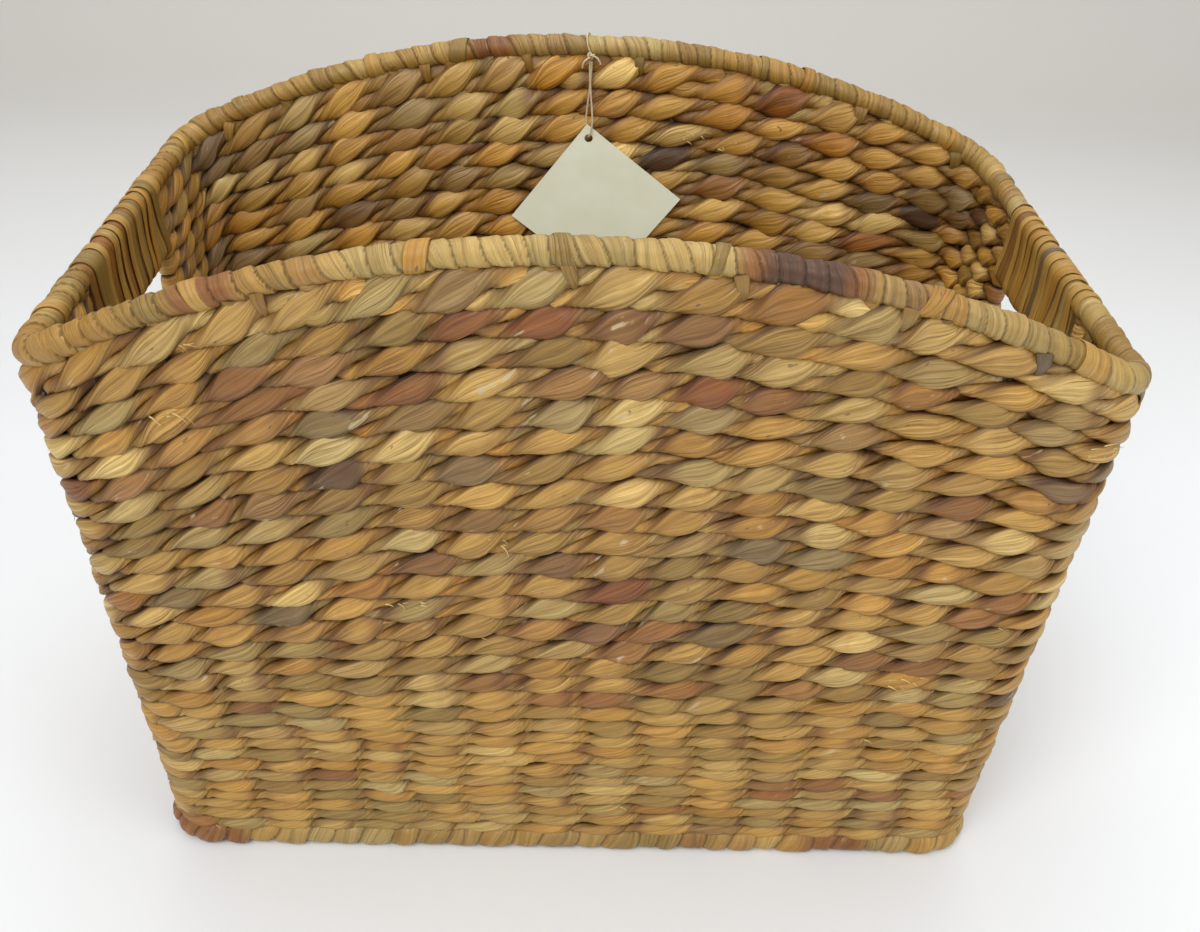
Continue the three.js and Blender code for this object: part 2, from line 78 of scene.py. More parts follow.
# One grid's points and faces, its colours and its places along the leaf. Points are rows by columns, and
# each face joins a point to the next in both directions, round the end where the grid is closed. An open
# tube gets a point at the middle of each end ring, joined to all of it: a three-sided face names its last
# corner twice. Faces are turned round where the volume that they close comes out below nothing.
def gridMesh(g):
    p = g["points"]
    rows, columns = p.shape[:2]
    i = np.arange(rows if g.get("closedRows") else rows - 1)
    j = np.arange(columns)
    i, j = np.meshgrid(i, j, indexing="ij")
    k, m = (i + 1) % rows, (j + 1) % columns
    corners = [i * columns + j, k * columns + j, k * columns + m, i * columns + m]
    faces = [np.stack(corners, -1).reshape(-1, 4)]
    layers = [p, np.broadcast_to(g["colour"], p.shape), np.broadcast_to(g["fibre"], p.shape)]
    flat = [layer.reshape(-1, 3) for layer in layers]
    if not g.get("closedRows"):
        for row, middle in ((0, rows * columns), (rows - 1, rows * columns + 1)):
            ring = row * columns + np.arange(columns)
            after = np.roll(ring, -1)
            centre = np.full(columns, middle)
            pair = [after, ring] if row == 0 else [ring, after]
            faces.append(np.stack([*pair, centre, centre], -1))
            flat = [np.vstack([f, layer[row].mean(0)]) for f, layer in zip(flat, layers)]
    faces = np.concatenate(faces)
    a, b, c, d = (flat[0][faces[:, corner]] for corner in range(4))
    volume = np.sum(a * np.cross(b, c)) + np.sum(a * np.cross(c, d))
    if volume < 0:
        faces = faces[:, [1, 0, 3, 2]]
    return *flat, faces


# One mesh object from several grids, with the leaf's colour and fibre as attributes of its points
def makePiece(name, grids, material, body="basket", replaced=()):
    made = [gridMesh(g) for g in grids]
    starts = np.cumsum([0] + [len(part[0]) for part in made])
    points, colours, fibres = (np.concatenate([part[k] for part in made]) for k in range(3))
    faces = np.concatenate([part[3] + start for part, start in zip(made, starts)])
    mesh = bpy.data.meshes.new(name)
    counts = np.where(faces[:, 2] == faces[:, 3], 3, 4)
    corners = faces[np.arange(4) < counts[:, None]]
    mesh.vertices.add(len(points))
    mesh.vertices.foreach_set("co", points.astype(np.float32).ravel())
    mesh.loops.add(len(corners))
    mesh.loops.foreach_set("vertex_index", corners.astype(np.int32))
    mesh.polygons.add(len(counts))
    mesh.polygons.foreach_set("loop_start", np.concatenate([[0], np.cumsum(counts)[:-1]]).astype(np.int32))
    mesh.update(calc_edges=True)
    mesh.validate()
    mesh.polygons.foreach_set("use_smooth", np.ones(len(counts), bool))
    colour = mesh.attributes.new("leafColour", "FLOAT_COLOR", "POINT")
    solid = np.column_stack([colours, np.ones(len(colours))])
    colour.data.foreach_set("color", solid.astype(np.float32).ravel())
    fibre = mesh.attributes.new("fibre", "FLOAT_VECTOR", "POINT")
    fibre.data.foreach_set("vector", fibres.astype(np.float32).ravel())
    mesh.materials.append(material)
    piece = bpy.data.objects.new(name, mesh)
    bpy.context.scene.collection.objects.link(piece)
    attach(piece, body)
    if replaced:
        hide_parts(*replaced)
    return piece


def unit(v):
    return v / np.linalg.norm(v, axis=-1, keepdims=True)


def smooth(low, high, at):
    t = np.clip((at - low) / (high - low), 0, 1)
    return t * t * (3 - 2 * t)


def blend(first, second, share):
    return first * (1 - share) + second * share


def ringAngles(count):
    return 2 * math.pi * np.arange(count) / count


# A cosine with steeper flanks: it makes a section that is squarer than an oval. The power is under 1.
def squareCos(angle, power):
    return np.sign(np.cos(angle)) * np.abs(np.cos(angle)) ** power


# How far along a line each of its points is
def lengthsAlong(line):
    return np.concatenate([[0], np.cumsum(np.linalg.norm(np.diff(line, axis=0), axis=1))])


# Values of three columns, which are known at some places, read at others
def readAt(places, known, values):
    return np.stack([np.interp(places, known, values[:, k]) for k in range(3)], -1)


# A colour as the eye reads it, from 0 to 1, in the renderer's own straight scale
def litColour(red, green, blue):
    c = np.array([red, green, blue], float)
    return np.where(c <= 0.04045, c / 12.92, ((c + 0.055) / 1.055) ** 2.4)


# A smooth line through the points: each stretch is the cubic that leaves and meets its points in the
# direction of their neighbours. It is then evened out to equal steps.
def smoothLine(points, step):
    points = np.asarray(points, float)
    p = np.vstack([2 * points[0] - points[1], points, 2 * points[-1] - points[-2]])
    t = np.linspace(0, 1, 12, endpoint=False)[:, None]
    a, b, c, d = (p[k : len(p) - 3 + k, None] for k in range(4))
    line = b + 0.5 * ((c - a) * t + (2 * a - 5 * b + 4 * c - d) * t**2 + (3 * b - a - 3 * c + d) * t**3)
    line = np.vstack([line.reshape(-1, 3), points[-1:]])
    so = lengthsAlong(line)
    even = np.linspace(0, so[-1], max(2, round(so[-1] / step) + 1))
    return readAt(even, so, line)


# A strip along a line: a flat rounded section, whose flat side looks towards facing
ribbon = {
    "sides": 12,
    "squareness": 0.7,
    "grainShift": 300,  # the leaf's pattern starts anywhere within this, in millimetres
}


def ribbonGrid(rng, line, facing, width, thick, colour):
    ahead = unit(np.gradient(line, axis=0))
    sideways = unit(np.cross(ahead, facing))
    facing = np.cross(sideways, ahead)
    around = ringAngles(ribbon["sides"])
    across = np.broadcast_to(width, len(line))[:, None] / 2 * squareCos(around, ribbon["squareness"])
    deep = np.broadcast_to(thick, len(line))[:, None] / 2 * np.sin(around)
    points = line[:, None] + sideways[:, None] * across[..., None] + facing[:, None] * deep[..., None]
    fibre = np.stack([
        np.broadcast_to(1000 * lengthsAlong(line)[:, None], across.shape),
        1000 * across,
        np.broadcast_to(np.sin(around), across.shape),
    ], -1) + rng.uniform(0, ribbon["grainShift"], 3)
    return {"points": points, "colour": np.broadcast_to(colour, points.shape), "fibre": fibre}


# Materials

# A node tree with short calls, each of which adds a node and gives what comes out of it. An input that is
# given another node's output is linked to it, and any other input is a constant.
class NodeTree:
    def __init__(self, tree):
        self.tree = tree

    def wire(self, node, inputs):
        for name, value in inputs.items():
            if isinstance(value, bpy.types.NodeSocket):
                self.tree.links.new(value, node.inputs[name])
            else:
                node.inputs[name].default_value = value

    def add(self, kind, inputs=None):
        node = self.tree.nodes.new("ShaderNode" + kind)
        self.wire(node, inputs or {})
        return node

    def noise(self, place, scale, detail, rough=0.5):
        inputs = {"Vector": place, "Scale": scale, "Detail": detail, "Roughness": rough}
        return self.add("TexNoise", inputs).outputs["Fac"]

    def ranged(self, value, fromLow, fromHigh, toLow=0.0, toHigh=1.0):
        ends = {"From Min": fromLow, "From Max": fromHigh, "To Min": toLow, "To Max": toHigh}
        return self.add("MapRange", {"Value": value, **ends}).outputs["Result"]

    def worked(self, operation, *values):
        node = self.add("Math")
        node.operation = operation
        self.wire(node, dict(enumerate(values)))
        return node.outputs["Value"]

    def mixed(self, kind, amount, first, second):
        node = self.add("Mix")
        node.data_type, node.blend_type = "RGBA", kind
        self.wire(node, {"Factor": amount, "A": first, "B": second})
        return node.outputs["Result"]

    def ramp(self, value, stops):
        node = self.add("ValToRGB", {"Fac": value})
        for stop, (place, colour) in zip(node.color_ramp.elements, stops):
            stop.position, stop.color = place, (*colour, 1)
        return node.outputs["Color"]

    def bump(self, height, strength, depth):
        inputs = {"Height": height, "Strength": strength, "Distance": depth}
        return self.add("Bump", inputs).outputs["Normal"]

    def attribute(self, name, kind):
        node = self.add("Attribute")
        node.attribute_name = name
        return node.outputs[kind]


def newMaterial(name):
    material = bpy.data.materials.new(name)
    material.use_nodes = True
    return material, NodeTree(material.node_tree), material.node_tree.nodes["Principled BSDF"]


# Dried leaf: fine streaks along the fibres, a few broad folds that are darker in their grooves, bare pale
# patches where the skin has peeled, and small dark specks. Fibre coordinates are millimetres, x along.
leafSkin = {
    "inputs": (
        ("Fibre", "Vector", (0, 0, 0)), ("Colour", "Color", (0.5, 0.4, 0.2, 1)),
        ("Streaks", "Float", 0.35), ("Folds", "Float", 0.5), ("Peel", "Float", 0.5),
    ),
    "outputs": (("Colour", "Color"), ("Roughness", "Float"), ("Height", "Float")),
    # Noises: scale, detail, roughness, and how far their coordinates are stretched
    "hair": (1.0, 3.0, 0.6, (0.05, 2.6, 2.6)),
    "streak": (1.0, 4.0, 0.62, (0.022, 0.85, 0.85)),
    "fold": (1.0, 1.0, 0.4, (0.008, 0.42, 0.42)),
    "folded": (0.05, 1.0, 0.5, (1.0, 1.0, 1.0)),
    "blotch": (0.09, 3.0, 0.6, (1.0, 1.0, 1.0)),
    "bare": (0.16, 3.0, 0.6, (0.4, 1.0, 1.0)),
    "speck": (0.45, 1.0, 0.4, (0.45, 1.0, 1.0)),
    # What is made of each noise: from low, from high, to low, to high
    "streakRange": (0.34, 0.66, 0.0, 1.0),
    "grooveRange": (0.0, 0.030, 1.0, 0.0),
    "foldedRange": (0.47, 0.62, 0.0, 1.0),
    "blotchRange": (0.55, 0.72, 0.0, 0.45),
    "bareRange": (0.672, 0.72, 0.0, 1.0),
    "bareStreakRange": (0.38, 0.52, 0.0, 1.0),
    "speckRange": (0.765, 0.785, 0.0, 0.6),
    "roughnessRange": (0.0, 1.0, 0.58, 0.34),
    # Tones that the leaf's colour is multiplied by, in the dark and the light of the streaks and the hairs
    "streakTones": ((0.60, 0.50, 0.34, 1), (1.22, 1.22, 1.36, 1)),
    "hairTones": ((0.66, 0.60, 0.50, 1), (1.18, 1.17, 1.15, 1)),
    "grooveTone": (0.46, 0.33, 0.22, 1),
    "blotchTone": (0.80, 0.62, 0.46, 1),
    # Tones that take the leaf colour's place
    "bareTone": (0.60, 0.47, 0.27, 1),
    "speckTone": (0.075, 0.04, 0.028, 1),
    "hairShare": 0.8,  # of the streaks' strength
    "grooveShare": 0.6,  # of the folds' strength
    # Shares of the relief
    "streakHeight": 0.5,
    "hairHeight": 0.28,
    "grooveDepth": 1.1,
    "bareHeight": -0.6,
    "shine": 0.6,
    "bump": 0.75,
}


def makeFibreGroup():
    group = bpy.data.node_groups.new("leafFibre", "ShaderNodeTree")
    for name, kind, usual in leafSkin["inputs"]:
        made = group.interface.new_socket(name=name, in_out="INPUT", socket_type="NodeSocket" + kind)
        made.default_value = usual
    for name, kind in leafSkin["outputs"]:
        group.interface.new_socket(name=name, in_out="OUTPUT", socket_type="NodeSocket" + kind)
    given, put = group.nodes.new("NodeGroupInput").outputs, group.nodes.new("NodeGroupOutput")
    on = NodeTree(group)

    def noise(name):
        *kind, stretch = leafSkin[name]
        place = on.add("Mapping", {"Vector": given["Fibre"], "Scale": stretch}).outputs["Vector"]
        return on.noise(place, *kind)

    def ranged(value, name):
        return on.ranged(value, *leafSkin[name + "Range"])

    def times(first, second):
        return on.worked("MULTIPLY", first, second)

    streak = noise("streak")
    light, hair = ranged(streak, "streak"), ranged(noise("hair"), "streak")
    groove = ranged(on.worked("ABSOLUTE", on.worked("SUBTRACT", noise("fold"), 0.5)), "groove")
    groove = times(groove, ranged(noise("folded"), "folded"))
    bare = times(ranged(noise("bare"), "bare"), ranged(streak, "bareStreak"))
    bare = times(bare, given["Peel"])

    streakTone = on.mixed("MIX", light, *leafSkin["streakTones"])
    hairTone = on.mixed("MIX", hair, *leafSkin["hairTones"])
    tone = on.mixed("MULTIPLY", given["Streaks"], given["Colour"], streakTone)
    tone = on.mixed("MULTIPLY", times(given["Streaks"], leafSkin["hairShare"]), tone, hairTone)
    inGroove = times(given["Folds"], times(groove, leafSkin["grooveShare"]))
    tone = on.mixed("MULTIPLY", inGroove, tone, leafSkin["grooveTone"])
    tone = on.mixed("MULTIPLY", ranged(noise("blotch"), "blotch"), tone, leafSkin["blotchTone"])
    tone = on.mixed("MIX", bare, tone, leafSkin["bareTone"])
    tone = on.mixed("MIX", ranged(noise("speck"), "speck"), tone, leafSkin["speckTone"])

    height = on.worked("ADD", times(light, leafSkin["streakHeight"]), times(hair, leafSkin["hairHeight"]))
    deep = times(groove, times(given["Folds"], leafSkin["grooveDepth"]))
    height = on.worked("ADD", on.worked("SUBTRACT", height, deep), times(bare, leafSkin["bareHeight"]))
    on.wire(put, {"Colour": tone, "Height": height, "Roughness": ranged(light, "roughness")})
    return group


leafFibre = makeFibreGroup()


def leafMaterial(name, streaks, folds, peel, depth):
    material, on, shader = newMaterial(name)
    grain = on.add("Group")
    grain.node_tree = leafFibre
    fibre, colour = on.attribute("fibre", "Vector"), on.attribute("leafColour", "Color")
    on.wire(grain, {"Fibre": fibre, "Colour": colour, "Streaks": streaks, "Folds": folds, "Peel": peel})
    on.wire(shader, {
        "Base Color": grain.outputs["Colour"],
        "Roughness": grain.outputs["Roughness"],
        "Specular IOR Level": leafSkin["shine"],
        "Normal": on.bump(grain.outputs["Height"], leafSkin["bump"], depth),
    })
    return material


courseLeaf = leafMaterial("courseLeaf", streaks=0.90, folds=0.90, peel=0.85, depth=0.00045)
lowCourseLeaf = leafMaterial("lowCourseLeaf", streaks=0.70, folds=0.60, peel=0.6, depth=0.00040)
wrapLeaf = leafMaterial("wrapLeaf", streaks=0.55, folds=0.75, peel=0.35, depth=0.00040)
twineFibre = leafMaterial("twineFibre", streaks=0.30, folds=0.10, peel=0.0, depth=0.00012)


# Bare paper card: an even cream with a faint mottle, a fine grain and a few soft creases
paper = {
    "tones": ((0.35, litColour(0.93, 0.945, 0.845)), (0.68, litColour(0.955, 0.97, 0.88))),
    "mottle": (60, 3),  # scale and detail of each noise
    "crease": (16, 1),
    "grain": (1500, 2),
    "creaseRange": (0.488, 0.502),  # a crease runs where its noise passes these values
    "grainHeight": 0.25,
    "roughness": 0.62,
    "shine": 0.35,
    "bump": 0.5,
    "depth": 0.0003,
}


def makeCardMaterial():
    material, on, shader = newMaterial("cardPaper")
    place = on.add("TexCoord").outputs["Object"]
    mottle, crease, grain = (on.noise(place, *paper[name]) for name in ("mottle", "crease", "grain"))
    crease = on.ranged(crease, *paper["creaseRange"])
    height = on.worked("MULTIPLY_ADD", grain, paper["grainHeight"], crease)
    on.wire(shader, {
        "Base Color": on.ramp(mottle, paper["tones"]),
        "Roughness": paper["roughness"],
        "Specular IOR Level": paper["shine"],
        "Normal": on.bump(height, paper["bump"], paper["depth"]),
    })
    return material


# Drawn steel wire with a thin brown film of rust, which is thicker in patches
wire = {
    "patches": (140, 4),  # scale and detail of their noise
    "bareToRusted": (0.42, 0.6),  # where their noise has these values the wire is bare, and fully rusted
    "colours": (litColour(0.42, 0.37, 0.31), litColour(0.36, 0.24, 0.17)),
    "metallic": (0.9, 0.15),
    "roughness": (0.42, 0.85),
    "bump": 0.4,
    "depth": 0.0002,
}


def makeWireMaterial():
    material, on, shader = newMaterial("rustedWire")
    patches = on.noise(on.add("TexCoord").outputs["Object"], *wire["patches"])
    on.wire(shader, {
        "Base Color": on.ramp(patches, zip(wire["bareToRusted"], wire["colours"])),
        "Metallic": on.ranged(patches, *wire["bareToRusted"], *wire["metallic"]),
        "Roughness": on.ranged(patches, *wire["bareToRusted"], *wire["roughness"]),
        "Normal": on.bump(patches, wire["bump"], wire["depth"]),
    })
    return material


cardPaper = makeCardMaterial()
rustedWire = makeWireMaterial()
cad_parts["tag_card"].material_slots[0].material = cardPaper
for name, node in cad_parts.items():
    if name.endswith(("wire", "cage")) or "post" in name or "bar" in name:
        node.material_slots[0].material = rustedWire


# Tag's twine: a cord from the card up to the knot on the loop, two plies laid round each other

tag = {
    "hinge": (0.0, 0.123316, 0.344),  # the rim wire's middle, over the back wall
    "tilt": 3.51,  # the hanging tag follows the wall's lean, in degrees
    "twineRoute": [  # from the knot, through the card's hole and back, in millimetres from the hinge
        (-0.5, -7.3, -5.9), (-0.4, -7.6, -11), (-0.1, -8.2, -16), (0.3, -8.8, -21), (0.8, -9.4, -26),
        (1.3, -10, -31), (1.6, -10.5, -36), (1.3, -10.8, -40), (0.8, -10.8, -42.5), (0.5, -10.5, -43.5),
        (0.2, -9.8, -44.3), (0, -8.8, -44.6), (-0.1, -7.8, -44.3), (-0.3, -7.1, -43.5), (-0.6, -6.8, -42.5),
        (-1.3, -6.8, -40), (-1.6, -6.8, -36), (-1.3, -6.8, -31), (-0.8, -6.8, -26), (-0.3, -6.8, -21),
        (0.1, -6.8, -16), (0.4, -6.8, -11), (0.5, -6.7, -6.2),
    ],
    "loopRadius": 6.2,
    "loopPoints": 130,
    "loopSpread": 2.6,  # how far the loop's strand wanders to the left as it goes over the rim
    "loopSkew": 0.55,  # how much less it wanders on the way back
    "knotFromHinge": 7.4,
    "knotBelow": 30,  # degrees under level, on the inner side
    "knotScale": (0.56, 0.56, 0.85),  # millimetres a unit of the knot's line
    "knotPoints": 150,
    "tails": [
        [(-0.6, -8.2, -4.4), (-1.8, -9.3, -4.6), (-3.1, -9.9, -5.6), (-4.0, -10, -7.2), (-4.3, -9.6, -9)],
        [(0.7, -8.2, -3.6), (1.9, -9.4, -3.3), (3.2, -10, -4.0), (4.3, -10, -5.4), (4.9, -9.7, -7)],
    ],
    "twineColour": litColour(0.86, 0.80, 0.66),
}
twine = {
    "diameter": 0.001,
    "lay": 0.0030,  # along the twine, for one turn of its plies
    "steps": 0.0003,
    "sides": 16,
    "valley": 0.30,  # depth between the plies, as a share of the radius
    "valleyPower": 1.6,
    "valleyShade": 0.55,  # the light left between the plies
    "valleyReach": 0.45,
    "grain": 3,  # radius of the pattern's tube, in millimetres
}


# Points in the tag's own millimetres, brought to the model's metres: tilted about the hinge's line, then
# moved to it
def tagPoints(points):
    lean = math.radians(tag["tilt"])
    x, y, z = np.moveaxis(np.asarray(points, float), -1, 0) / 1000
    turned = [x, y * math.cos(lean) + z * math.sin(lean), z * math.cos(lean) - y * math.sin(lean)]
    return np.stack(turned, -1) + np.array(tag["hinge"])


# Twine along a line: a tube whose radius dips twice round, between its two plies, and whose dips turn once
# in a lay
def twineGrid(line, reference, closed=False):
    if closed:
        ahead = unit(np.roll(line, -1, axis=0) - np.roll(line, 1, axis=0))
    else:
        ahead = unit(np.gradient(line, axis=0))
    side = unit(reference - ahead * np.sum(ahead * reference, -1, keepdims=True))
    other = np.cross(ahead, side)
    so = lengthsAlong(line)
    whole = so[-1] + (np.linalg.norm(line[0] - line[-1]) if closed else 0)
    turns = round(whole / twine["lay"]) * 2 * math.pi * so / whole
    around = ringAngles(twine["sides"])
    plyTurn = around - turns[:, None]
    ply = np.abs(np.cos(plyTurn))
    radius = twine["diameter"] / 2 * (1 - twine["valley"] * (1 - ply) ** twine["valleyPower"])
    points = line[:, None] + radius[..., None] * (
        side[:, None] * np.cos(around)[:, None] + other[:, None] * np.sin(around)[:, None]
    )
    shade = blend(twine["valleyShade"], 1, smooth(0.0, twine["valleyReach"], ply))
    colour = tag["twineColour"] * shade[..., None]
    tube = twine["grain"] * np.stack([np.cos(plyTurn), np.sin(plyTurn)], -1)
    fibre = np.concatenate([np.broadcast_to(1000 * so[:, None, None], (*ply.shape, 1)), tube], -1)
    return {"points": points, "colour": colour, "fibre": fibre, "closedRows": closed}


# An overhand knot's line, seen along its axis: three lobes that pass over and under each other. Its columns
# are sin t + 2 sin 2t, cos t - 2 cos 2t and -sin 3t.
def knotLine():
    t = ringAngles(tag["knotPoints"])
    loops = np.stack([np.sin(t) + 2 * np.sin(2 * t), np.cos(t) - 2 * np.cos(2 * t), -np.sin(3 * t)], -1)
    loops = loops * np.array(tag["knotScale"])
    below = math.radians(tag["knotBelow"])
    middle = tag["knotFromHinge"] * np.array([0, -math.cos(below), -math.sin(below)])
    outward = np.array([0, -math.cos(below), -math.sin(below)])
    upward = np.array([0, -math.sin(below), math.cos(below)])
    local = middle + loops[:, :1] * np.array([1, 0, 0]) + loops[:, 1:2] * upward + loops[:, 2:] * outward
    return tagPoints(local), outward


def makeTagTwine():
    acrossRim = np.array([1.0, 0.0, 0.0])
    route = smoothLine(tagPoints(tag["twineRoute"]), twine["steps"])
    string = makePiece(
        "tagString", [twineGrid(route, acrossRim)], twineFibre, "hang_tag", ["tag_string"]
    )
    turn = ringAngles(tag["loopPoints"])
    ring = tag["loopRadius"] * np.stack([0 * turn, np.cos(turn), np.sin(turn)], -1)
    fromKnot = np.mod(math.pi + math.radians(tag["knotBelow"]) - turn, 2 * math.pi) / (2 * math.pi)
    ring[:, 0] = -tag["loopSpread"] * np.sin(2 * math.pi * fromKnot) * (1 - tag["loopSkew"] * fromKnot)
    ring = twineGrid(tagPoints(ring), acrossRim, True)
    loop = makePiece("rimLoop", [ring], twineFibre, "hang_tag", ["rim_loop"])
    line, outward = knotLine()
    aside = np.array([0.0, 0.3, 1.0])
    tails = [twineGrid(smoothLine(tagPoints(tail), twine["steps"]), aside) for tail in tag["tails"]]
    tied = [twineGrid(line, outward, True), *tails]
    knot = makePiece("stringKnot", tied, twineFibre, "hang_tag", ["string_knot"])
    length = float(lengthsAlong(route)[-1])
    print("basket: tag twine", round(length, 4), "m")


makeTagTwine()


# Wall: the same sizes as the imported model

wall = {
    "rimWidth": 0.430,
    "rimDepth": 0.240,
    "baseWidth": 0.400,
    "baseDepth": 0.205,
    "cornerHeight": 0.290,
    "archRise": 0.054,
    "cornerRadius": 0.018,
    "hoopHeight": 0.005,
    "faceSpaces": 15,
    "postReach": 0.053,
    "besideSpaces": 3,  # between a hand-hole's post and the corner
    "belowSpaces": 2,  # between the middle of an end and its hand-hole's post
    "courseCount": 30,
    "ringCount": 24,
    "lowestCourse": 0.0103,
    "highestCourse": 0.2822,
    "lowCourseShare": 0.76,
    "wideFromShare": 0.34,
    "wideByShare": 0.56,
    "archFromShare": 0.34,
    "archEaseShare": 1.25,
    "waver": 0.0011,  # how far the courses stray up and down
    "waverWaves": ((9, 31, 0.4, 1), (17, -52, 2.1, 0.8), (29, 77, 4.4, 0.6)),  # round, up, start and share
    "waverFoot": (0.012, 0.06),  # the heights between which it grows
    "waverHead": 0.05,  # the height in which it dies out
    "waverEnd": (0.2, 0.012),  # it ends this far above the rim's height at this x
    "topFullness": 1.20,  # the top course is fuller and sits a little higher, up against the wound rim
    "topRise": 0.0014,
    "topSwell": 0.0010,  # how much thicker its strands are, and how much further they part where they cross
}

archRadius = (wall["rimWidth"] ** 2 / 4 + wall["archRise"] ** 2) / (2 * wall["archRise"])
turnX = wall["rimWidth"] / 2 - wall["cornerRadius"]
turnY = wall["rimDepth"] / 2 - wall["cornerRadius"]


# The wall's middle line at the rim, seen from above: from the middle of the right end, anticlockwise once
# round. It gives the length so far, x, y and the direction that faces out.
def planLine():
    radius = wall["cornerRadius"]
    x, y, facing = [wall["rimWidth"] / 2], [0.0], [0.0]
    corners = ((turnX, turnY, 0), (-turnX, turnY, 90), (-turnX, -turnY, 180), (turnX, -turnY, 270))
    for centreX, centreY, begin in corners:
        turn = np.radians(np.linspace(begin, begin + 90, 25))
        x.extend(centreX + radius * np.cos(turn))
        y.extend(centreY + radius * np.sin(turn))
        facing.extend(turn)
    x.append(x[0])
    y.append(y[0])
    facing.append(2 * math.pi)
    x, y, facing = np.array(x), np.array(y), np.array(facing)
    so = np.concatenate([[0], np.cumsum(np.hypot(np.diff(x), np.diff(y)))])
    return so, x, y, facing


planLength, planX, planY, planFacing = planLine()
roundWall = planLength[-1]


# x, y and the two parts of the outward direction, at lengths along the middle line
def planAt(along):
    a = np.mod(along, roundWall)
    facing = np.interp(a, planLength, planFacing)
    return np.interp(a, planLength, planX), np.interp(a, planLength, planY), np.cos(facing), np.sin(facing)


def rimHeight(x):
    return wall["cornerHeight"] + wall["archRise"] - archRadius + np.sqrt(archRadius**2 - x**2)


# How wide and how deep the wall is at a height, as shares of the rim's size. It leans out evenly.
def leanShares(z):
    up = (z - wall["hoopHeight"]) / (wall["cornerHeight"] - wall["hoopHeight"])
    wide = (wall["baseWidth"] + (wall["rimWidth"] - wall["baseWidth"]) * up) / wall["rimWidth"]
    deep = (wall["baseDepth"] + (wall["rimDepth"] - wall["baseDepth"]) * up) / wall["rimDepth"]
    return wide, deep


def onWall(x, y, outX, outY, z, off):
    wide, deep = leanShares(z)
    return np.stack([x * wide + outX * off, y * deep + outY * off, z + 0 * off], -1)


courseShares = np.concatenate([[0], np.cumsum([
    wall["lowCourseShare"] + (1 - wall["lowCourseShare"])
    * smooth(wall["wideFromShare"], wall["wideByShare"], (i + 0.5) / wall["courseCount"])
    for i in range(wall["courseCount"])
])])
courseShares /= courseShares[-1]


# The underside of a course above a place x along the face: level near the base, and higher up it takes a
# growing share of the rim's arch
def courseHeight(level, x):
    reach = wall["highestCourse"] - wall["lowestCourse"]
    share = np.interp(level, np.arange(wall["courseCount"] + 1), courseShares)
    atCorner = wall["lowestCourse"] + share * reach
    arch = max(0.0, (level / wall["courseCount"] - wall["archFromShare"]) / (1 - wall["archFromShare"]))
    return atCorner + arch ** wall["archEaseShare"] * (rimHeight(x) - wall["cornerHeight"])


# A slow drift up and down, the same for neighbouring courses: three waves across the wall, which die out at
# the base and the rim
def waver(along, z):
    turns = 2 * math.pi * along / roundWall
    waves = sum(share * np.sin(a * turns + up * z + start) for a, up, start, share in wall["waverWaves"])
    endX, above = wall["waverEnd"]
    fade = smooth(*wall["waverFoot"], z) * smooth(0.0, wall["waverHead"], rimHeight(endX) + above - z)
    return wall["waver"] * waves * fade


# Where the uprights stand along the middle line: by corner, end and face, as in the frame
def uprightLengths():
    half = wall["rimWidth"] / 2
    space = wall["rimWidth"] / wall["faceSpaces"]
    face = [half - space * (i + 1) for i in range(wall["faceSpaces"] - 1)]
    toCorner = wall["rimDepth"] / 2 - wall["postReach"]
    spaces = wall["besideSpaces"], wall["belowSpaces"]
    beside = [wall["postReach"] + toCorner * i / spaces[0] for i in range(spaces[0])]
    below = [wall["postReach"] * i / spaces[1] for i in range(spaces[1])]
    quarter = wall["cornerRadius"] * math.pi / 4
    end = below + beside
    back = [turnY + 2 * quarter + turnX - x for x in face]
    side = 2 * (turnY + 2 * quarter + turnX)
    halfRound = end + [turnY + quarter] + back + [side - turnY - quarter] + [side - y for y in end[:0:-1]]
    return np.array(halfRound + [side + a for a in halfRound])


uprights = uprightLengths()
print("basket: wall laid out,", len(uprights), "uprights round", round(roundWall, 4), "m")


# Leaf colours

leaf = {
    "straw": litColour(0.755, 0.60, 0.29),
    "honey": litColour(0.735, 0.55, 0.215),
    "khaki": litColour(0.70, 0.61, 0.365),
    "olive": litColour(0.60, 0.49, 0.225),
    "pale": litColour(0.86, 0.76, 0.47),
    "grey": litColour(0.50, 0.415, 0.275),
    "rust": litColour(0.55, 0.325, 0.115),
    "dark": litColour(0.30, 0.20, 0.13),
}
usualShares = {
    "straw": 0.30, "honey": 0.24, "khaki": 0.17, "olive": 0.13, "pale": 0.08, "grey": 0.04, "rust": 0.04,
}
lowShares = {"straw": 0.34, "honey": 0.27, "khaki": 0.17, "olive": 0.14, "pale": 0.05, "rust": 0.03}
insideShares = {
    "straw": 0.32, "honey": 0.20, "khaki": 0.16, "olive": 0.16, "pale": 0.08, "grey": 0.05, "rust": 0.03,
}

# How the beads take their colours
beadLook = {
    "change": 0.42,  # chance that a strand changes its leaf at a bead
    "own": (0.25, 0.85),  # how much of a bead's colour is its own, and not its strand's
    "stray": 0.15,
    "lowStray": 0.08,
    "lowHeight": 0.15,  # courses whose middle is lower are more even
    "lift": (1.03, 1.29),  # painted light on the beads outside and inside, which are in the wall's shade
    "faceDepth": 0.09,  # from here on y, either way, a bead is on the front or the back
    "stainReach": 1.5,  # square of the way from a stain's middle to where it is gone, in its halves
    "stainShare": (0.6, 1),
    "stainStray": (0.8, 1.15),
}

